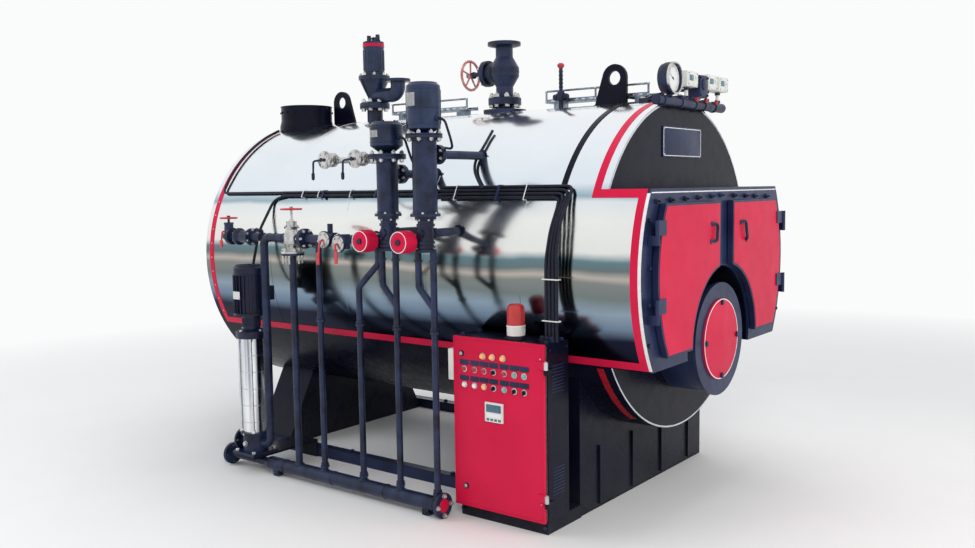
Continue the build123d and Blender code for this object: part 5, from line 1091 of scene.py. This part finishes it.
for z in (0.716, 0.844):
    addHexBolt(bm, (-0.4285, -1.012, z), -alongX, 0.006, 0.002, False)
finishPiece("cabinet_side_box_cover", bm, "paleBox")
bm = bmesh.new()
for x in body["bolts"]:
    addHexBolt(bm, (x, -1.008, 0.034), -alongY, 0.018, 0.01)
    addHexBolt(bm, (x, -1.008, 0.05), -alongY, 0.008, 0.002, False)
finishPiece("plinth_bolts", bm, "castDark")
bm = bmesh.new()
for z in body["rails"]:  # switchgear on rails behind the door
    addBlock(bm, (-0.34, -0.872, z - 0.018), (0.12, -0.856, z + 0.018), 0.002)
    for k in range(body["switches"]):
        x = -0.33 + body["pitch"] * k
        addBlock(bm, (x, -0.93, z - 0.045), (x + 0.05, -0.872, z + 0.045), 0.004)
        addBlock(bm, (x + 0.018, -0.942, z - 0.012), (x + 0.032, -0.93, z + 0.012), 0.002)
finishPiece("cabinet_switchgear", bm, "slateGloss")
print("cabinet is dressed")

# beacon: foot with its screws, white base and ribbed red lens
beacon = dict(place=(-0.054, -0.96), low=0.9303, foot=0.948, lens=1.0, top=1.105, radius=0.046)
bm = bmesh.new()
addLathe(bm, [(0.03, 0), (0.049, 0), (0.049, 0.012), (0.046, 0.018), (0.03, 0.018)],
         (*beacon["place"], beacon["low"]), alongZ, 48)
for spot in circle((*beacon["place"], body["roof"]), 0.0535, 4, alongX, alongY, 0.7):
    addHexBolt(bm, spot, alongZ, 0.01, 0.006)
finishPiece("beacon_foot_ring", bm, "cableBlack")
bm = bmesh.new()
r, rise = beacon["radius"], beacon["lens"] - beacon["foot"]
addLathe(bm, [(0, 0), (r - 0.002, 0), (r, 0.002), (r, 0.006), (r - 0.0015, 0.007), (r - 0.0015, rise - 0.011),
              (r + 0.001, rise - 0.01),
              (r + 0.001, rise - 0.002), (r - 0.001, rise), (0, rise)], (*beacon["place"], beacon["foot"]), alongZ,
              56)
for spot in circle((*beacon["place"], 0), r - 0.0015, 24, alongX, alongY):
    addTube(bm, [spot + alongZ * 0.958, spot + alongZ * 0.987], 0.0011, 0, 6)
shell = finishPiece("beacon_base_shell", bm, "paleBox")
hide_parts("beacon_base")
bm = bmesh.new()
r, rise = beacon["radius"] - 0.0015, beacon["top"] - beacon["lens"]
addLathe(bm, [(0, 0), (r, 0), (r, 0.004), (r - 0.0015, 0.005), (r - 0.002, rise - 0.022), (r - 0.007, rise - 0.009),
              (r - 0.018, rise - 0.002),
              (0, rise)], (*beacon["place"], beacon["lens"]), alongZ, 56)
for spot in circle((*beacon["place"], 0), r - 0.002, 36, alongX, alongY):
    addTube(bm, [spot + alongZ * 1.006, spot + alongZ * 1.082], 0.0013, 0, 6)
shell = finishPiece("beacon_lens_shell", bm, "redLens")
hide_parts("beacon_lens")

# jacket: lap seams, and rivets on the rear hoop
seams = dict(places=(-1.985, -1.36, -0.735, -0.11),
             section=((-0.0012, 0.0), (-0.001, 0.0011), (0.018, 0.0011), (0.0195, 0.0)), steps=40,
             spans=((-119, -1), (1, 119)), hoop=-2.55, hoopLift=0.0015, rivets=19, rivetStep=6)
bm = bmesh.new()
for x in seams["places"]:
    for first, last in seams["spans"]:
        arc = [radians(first + (last - first) * k / seams["steps"]) for k in range(seams["steps"] + 1)]
        rows = [[bm.verts.new((x + dx, -(jacketR + lift) * sin(a), axisZ + (jacketR + lift) * cos(a))) for a in arc]
                for dx, lift in seams["section"]]
        for low, high in zip(rows, rows[1:]):
            for k in range(seams["steps"]):
                bm.faces.new((low[k], low[k + 1], high[k + 1], high[k]))
finishPiece("jacket_lap_seams", bm, "mirrorSheet", "boiler", 20)
bm = bmesh.new()
for k in (*range(-seams["rivets"], 0), *range(1, seams["rivets"] + 1)):
    angle = radians(seams["rivetStep"] * k)
    out = Vector((0, -sin(angle), cos(angle)))
    spot = Vector((seams["hoop"], 0, axisZ)) + out * (jacketR + seams["hoopLift"])
    addLathe(bm, [(0.0042, 0), (0.0036, 0.0014), (0.002, 0.0022), (0, 0.0024)], spot, out, 10)
finishPiece("jacket_rivets", bm, "sheetEdge")

# front plate rim line and the mouths of the fire tubes inside the smokebox
bm = bmesh.new()
addBand(bm, 0.869, 0.8775, 0.0016, (barrelFront, 0, axisZ), alongX, 128)
finishPiece("front_plate_rim_line", bm, "sheetEdge")
tubes = dict(pitch=0.084, side=0.47, level=0.02, reach=0.689, drop=0.385, arch=0.456, rows=range(-2, 3),
             mouth=[(0.0282, 0), (0.033, 0), (0.032, 0.004), (0.028, 0.005), (0.0255, 0.002), (0.0255, -0.008)])
bm = bmesh.new()
for side in (-1, 1):
    for row in tubes["rows"]:
        for column in tubes["rows"]:
            y = side * (tubes["side"] + column * tubes["pitch"])
            z = tubes["level"] + row * tubes["pitch"] + (column % 2) * tubes["pitch"] / 2
            if sqrt(y * y + z * z) <= tubes["reach"] and sqrt(y * y + (z + tubes["drop"]) ** 2) >= tubes["arch"]:
                addLathe(bm, tubes["mouth"], (barrelFront, y, axisZ + z), alongX, 24)
finishPiece("fire_tube_ferrules", bm, "millSteel")
print("jacket and front plate are dressed")

# rear end: the access cover's bolts and two pull handles
rearCover = dict(face=0.025, circle=0.6, bolts=20, side=0.12, half=0.055, seat=0.049, out=0.058)
bm = bmesh.new()
addBoltCircle(bm, (barrelRear - rearCover["face"], 0, axisZ), -alongX, rearCover["circle"], rearCover["bolts"],
              0.022, 0.013, 0, 0.006)
finishPiece("rear_cover_bolts", bm, "castDark")
bm = bmesh.new()
seat, out = barrelRear - rearCover["seat"], barrelRear - rearCover["out"]
for y in (-rearCover["side"], rearCover["side"]):
    low, high = axisZ - rearCover["half"], axisZ + rearCover["half"]
    addTube(bm, [(seat, y, low), (out, y, low), (out, y, high), (seat, y, high)], 0.006, 0.006, 12)
finishPiece("rear_cover_handles", bm, "castDark")

# skid: weld lines, saddle ribs and foot bolts
skid = dict(side=0.7153, top=0.0655, start=-2.43, run=2.27, beads=40, bolts=(-2.3, -1.9, -1.5, -1.1, -0.7, -0.3),
            ribs=(-0.52, -0.17, 0.17, 0.52))
bm = bmesh.new()
for side in (-1, 1):
    for k in range(skid["beads"]):
        x = skid["start"] + skid["run"] * k / skid["beads"]
        addTube(bm, [(x, side * skid["side"], skid["top"]), (x + 0.05, side * skid["side"], skid["top"])], 0.0022,
                0, 6)
for x in (-0.1505, 0.1505):
    for k in range(30):
        y = -0.69 + 1.38 * k / 30
        addTube(bm, [(x, y, 0.004), (x, y + 0.04, 0.004)], 0.003, 0, 6)
finishPiece("skid_weld_lines", bm, "blackGloss")
bm = bmesh.new()
for start, end in ((-0.162, -0.15), (0.15, 0.162)):
    for y in skid["ribs"]:
        addBlock(bm, (start, y - 0.005, 0.02), (end, y + 0.005, 0.33), 0.001)
finishPiece("front_saddle_ribs", bm, "blackGloss")
bm = bmesh.new()
for x in skid["bolts"]:
    for side in (-1, 1):
        addHexBolt(bm, (x, side * 0.685, 0.065), alongZ, 0.024, 0.013)
finishPiece("skid_bolts", bm, "castDark")

# cable runs: thick rows on the jacket, the bundle down to the cabinet, clips and white ties
cableRun = dict(thick=0.0083, lift=0.0125, start=-1.93, front=-0.66, rows=(1.618, 1.636, 1.654, 1.672),
                turn=(0.111, 0.131, 0.151, 0.171),
                out=-0.94, roof=0.93, bend=0.045, clips=(-1.57, -1.14, -0.71, -0.28), clip=0.014, rearX=-2.525,
                rearR=0.892,
                rearTurns=(20, 27, 34, 41, 48, 55), motorX=-2.005)
ties = dict(single=(-1.74, -1.6, -1.333, -1.0), full=(-0.55, -0.1), drop=(1.03, 1.23))
bm = bmesh.new()
for i, (z, x) in enumerate(zip(cableRun["rows"], cableRun["turn"])):
    start = cableRun["start"] if i in (1, 2) else cableRun["front"]
    y = jacketY(z, cableRun["lift"])
    addTube(bm, [(start, y, z), (x, y, z), (x, -0.9, z - 0.16), (x, cableRun["out"], z - 0.3),
                 (x, cableRun["out"], cableRun["roof"])],
            cableRun["thick"], cableRun["bend"], 14)
x, z = cableRun["motorX"], cableRun["rows"][1]
y = jacketY(z, cableRun["lift"])
addTube(bm, [(-1.9, y, z), (x, y - 0.004, 1.61), (x, -0.93, 1.42), (x, -0.99, 1.2), (-1.985, -1.01, 1.06),
             (-1.913, -1.01, 1.058)],
        0.0085, 0.05, 14)
x, r, z = cableRun["rearX"], cableRun["rearR"], cableRun["rows"][2]
rear = [(x, -0.9 * sin(radians(a)), axisZ + r * cos(radians(a))) for a in cableRun["rearTurns"]]
rear += [(x, jacketY(z, cableRun["lift"]), z), (cableRun["start"], jacketY(z, cableRun["lift"]), z)]
addTube(bm, rear, 0.0075, 0.04, 12)
bundle = finishPiece("cable_bundle", bm, "cableBlack")
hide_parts("conduits")
bm = bmesh.new()
outer = cableRun["lift"] + 0.0102
for x in cableRun["clips"]:
    high, low = (1.683, 1.607) if x > cableRun["front"] else (1.666, 1.624)
    steps = [low + (high - low) * k / 6 for k in range(7)]
    section = ((0, outer), (cableRun["clip"], outer), (cableRun["clip"], 0.0005), (0, 0.0005))
    rows = [[bm.verts.new((x + dx, jacketY(z, lift), z)) for z in steps] for dx, lift in section]
    for k in range(4):
        for j in range(6):
            bm.faces.new((rows[k][j], rows[k][j + 1], rows[(k + 1) % 4][j + 1], rows[(k + 1) % 4][j]))
    bm.faces.new([row[0] for row in rows])
    bm.faces.new([row[-1] for row in rows])
finishPiece("cable_clips", bm, "slateGloss")
bm = bmesh.new()
inner, outer = 0.001, cableRun["lift"] + 0.011
for places, low, high in ((ties["single"], 1.625, 1.665), (ties["full"], 1.606, 1.684)):
    for x in places:
        addTube(bm, [(x, jacketY(low, inner), low), (x, jacketY(low, outer), low), (x, jacketY(high, outer), high),
                     (x, jacketY(high, inner), high)], 0.0028, 0.006, 8, True)
for z in ties["drop"]:
    addTube(bm, [(0.096, -0.952, z), (0.188, -0.952, z), (0.188, -0.928, z), (0.096, -0.928, z)], 0.003, 0.006, 8,
            True)
finishPiece("cable_ties", bm, "tieWhite")
bm = bmesh.new()
addTube(bm, [(-1.962, sideY, 1.13), (-1.995, sideY, 1.125), (-2.0, sideY, 1.05), (-1.96, sideY, 1.02)], 0.007, 0.03,
        12)
finishPiece("motor_side_loop", bm, "motorNavy")
print("base and cables are dressed")


# studio: pale floor and back

studio = dict(pale=(0.96, 0.965, 0.97, 1), ambient=(0.48, 0.49, 0.51, 1), near=3.2, far=8.0, half=40)
world = bpy.data.worlds.new("works yard light")
bpy.context.scene.world = world
world.use_nodes = True
sky = world.node_tree
sky.nodes.clear()


def paleRays(tree):
    # 1 for what the lens, metal and glass see of the studio
    rays = addNode(tree, "LightPath")
    either = rays.outputs["Is Camera Ray"]
    for kind in ("Is Glossy Ray", "Is Transmission Ray"):
        larger = addNode(tree, "Math", operation="MAXIMUM")
        tree.links.new(either, larger.inputs[0])
        tree.links.new(rays.outputs[kind], larger.inputs[1])
        either = larger.outputs["Value"]
    return either


link = sky.links.new
seen = addNode(sky, "Background", {"Color": studio["pale"], "Strength": 1.0})
around = addNode(sky, "Background", {"Color": studio["ambient"], "Strength": 1.0})
choose = addNode(sky, "MixShader")
link(paleRays(sky), choose.inputs["Fac"])
link(around.outputs["Background"], choose.inputs[1])
link(seen.outputs["Background"], choose.inputs[2])
link(choose.outputs["Shader"], addNode(sky, "OutputWorld").inputs["Surface"])

ground = bpy.data.materials.new("studioFloor")  # matte by the boiler, fading to the plain background further out
ground.use_nodes = True
tree = ground.node_tree
link = tree.links.new
matte = tree.nodes["Principled BSDF"]
matte.inputs["Roughness"].default_value = 0.9
matte.inputs["Specular IOR Level"].default_value = 0.1
where = addNode(tree, "TexCoord")
speck = addNode(tree, "TexNoise", {"Scale": 2.5, "Detail": 8})
link(where.outputs["Object"], speck.inputs["Vector"])
tint = addNode(tree, "ValToRGB")
tint.color_ramp.elements[0].color = (0.86, 0.86, 0.855, 1)
tint.color_ramp.elements[1].color = (0.9, 0.9, 0.895, 1)
link(speck.outputs["Fac"], tint.inputs["Fac"])
link(tint.outputs["Color"], matte.inputs["Base Color"])
spread = addNode(tree, "VectorMath", operation="LENGTH")
link(where.outputs["Object"], spread.inputs[0])
fade = addNode(tree, "MapRange", {"From Min": studio["near"], "From Max": studio["far"]})
link(spread.outputs["Value"], fade.inputs["Value"])
share = addNode(tree, "Math", operation="MULTIPLY")
link(fade.outputs["Result"], share.inputs[0])
link(paleRays(tree), share.inputs[1])
plain = addNode(tree, "Emission", {"Color": studio["pale"]})
blend = addNode(tree, "MixShader")
link(share.outputs["Value"], blend.inputs["Fac"])
link(matte.outputs["BSDF"], blend.inputs[1])
link(plain.outputs["Emission"], blend.inputs[2])
link(blend.outputs["Shader"], tree.nodes["Material Output"].inputs["Surface"])
half = studio["half"]
floorMesh = bpy.data.meshes.new("studio_floor")
floorMesh.from_pydata([(-half, -half, 0), (half, -half, 0), (half, half, 0), (-half, half, 0)], [], [(0, 1, 2, 3)])
floorMesh.materials.append(ground)
floor = bpy.data.objects.new("studio_floor", floorMesh)
bpy.context.collection.objects.link(floor)

lamps = {
    "key": dict(place=(4.2, -5.5, 5.2), aim=(-0.8, -0.4, 1.2), size=3.4, power=215, colour=(1, 0.98, 0.95)),
    "fill": dict(place=(-5.5, -5.0, 3.8), aim=(-1.2, -0.6, 1.0), size=4.0, power=130, colour=(0.93, 0.97, 1)),
    "front": dict(place=(6.5, 0.8, 3.2), aim=(0.5, 0, 1.1), size=3.0, power=120, colour=(1, 0.99, 0.97)),
    "top": dict(place=(-1.0, 1.2, 6.5), aim=(-1.0, 0, 1.2), size=5.0, power=150, colour=(1, 1, 1)),
}
for name, lamp in lamps.items():
    light = bpy.data.lights.new(name + "_lamp", "AREA")
    light.energy = lamp["power"]
    light.size = lamp["size"]
    light.color = lamp["colour"]
    holder = bpy.data.objects.new(name + "_lamp", light)
    holder.location = lamp["place"]
    holder.rotation_euler = (Vector(lamp["aim"]) - Vector(lamp["place"])).to_track_quat("-Z", "Y").to_euler()
    holder.visible_glossy = False
    bpy.context.collection.objects.link(holder)

shot = dict(place=(2.610, -4.657, 1.673), yaw=37.17, pitch=5.24, roll=-0.77, lens=34.73)
yaw, pitch, roll = (radians(shot[k]) for k in ("yaw", "pitch", "roll"))
ahead = Vector((-sin(yaw) * cos(pitch), cos(yaw) * cos(pitch), -sin(pitch)))
flat = Vector((cos(yaw), sin(yaw), 0))
above = flat.cross(ahead)
rightward = flat * cos(roll) + above * sin(roll)
upward = above * cos(roll) - flat * sin(roll)
camera = bpy.data.cameras.new("photo_camera")
camera.lens = shot["lens"]
camera.sensor_width = 36
camera.shift_x = -0.0052
camera.shift_y = -0.001
camera.clip_end = 200
eye = bpy.data.objects.new("photo_camera", camera)
eye.matrix_world = Matrix((
    (rightward.x, upward.x, -ahead.x, shot["place"][0]),
    (rightward.y, upward.y, -ahead.y, shot["place"][1]),
    (rightward.z, upward.z, -ahead.z, shot["place"][2]),
    (0, 0, 0, 1)))
bpy.context.collection.objects.link(eye)
bpy.context.scene.camera = eye
bpy.context.scene.view_settings.view_transform = "Standard"
print("stage, lamps and camera stand")
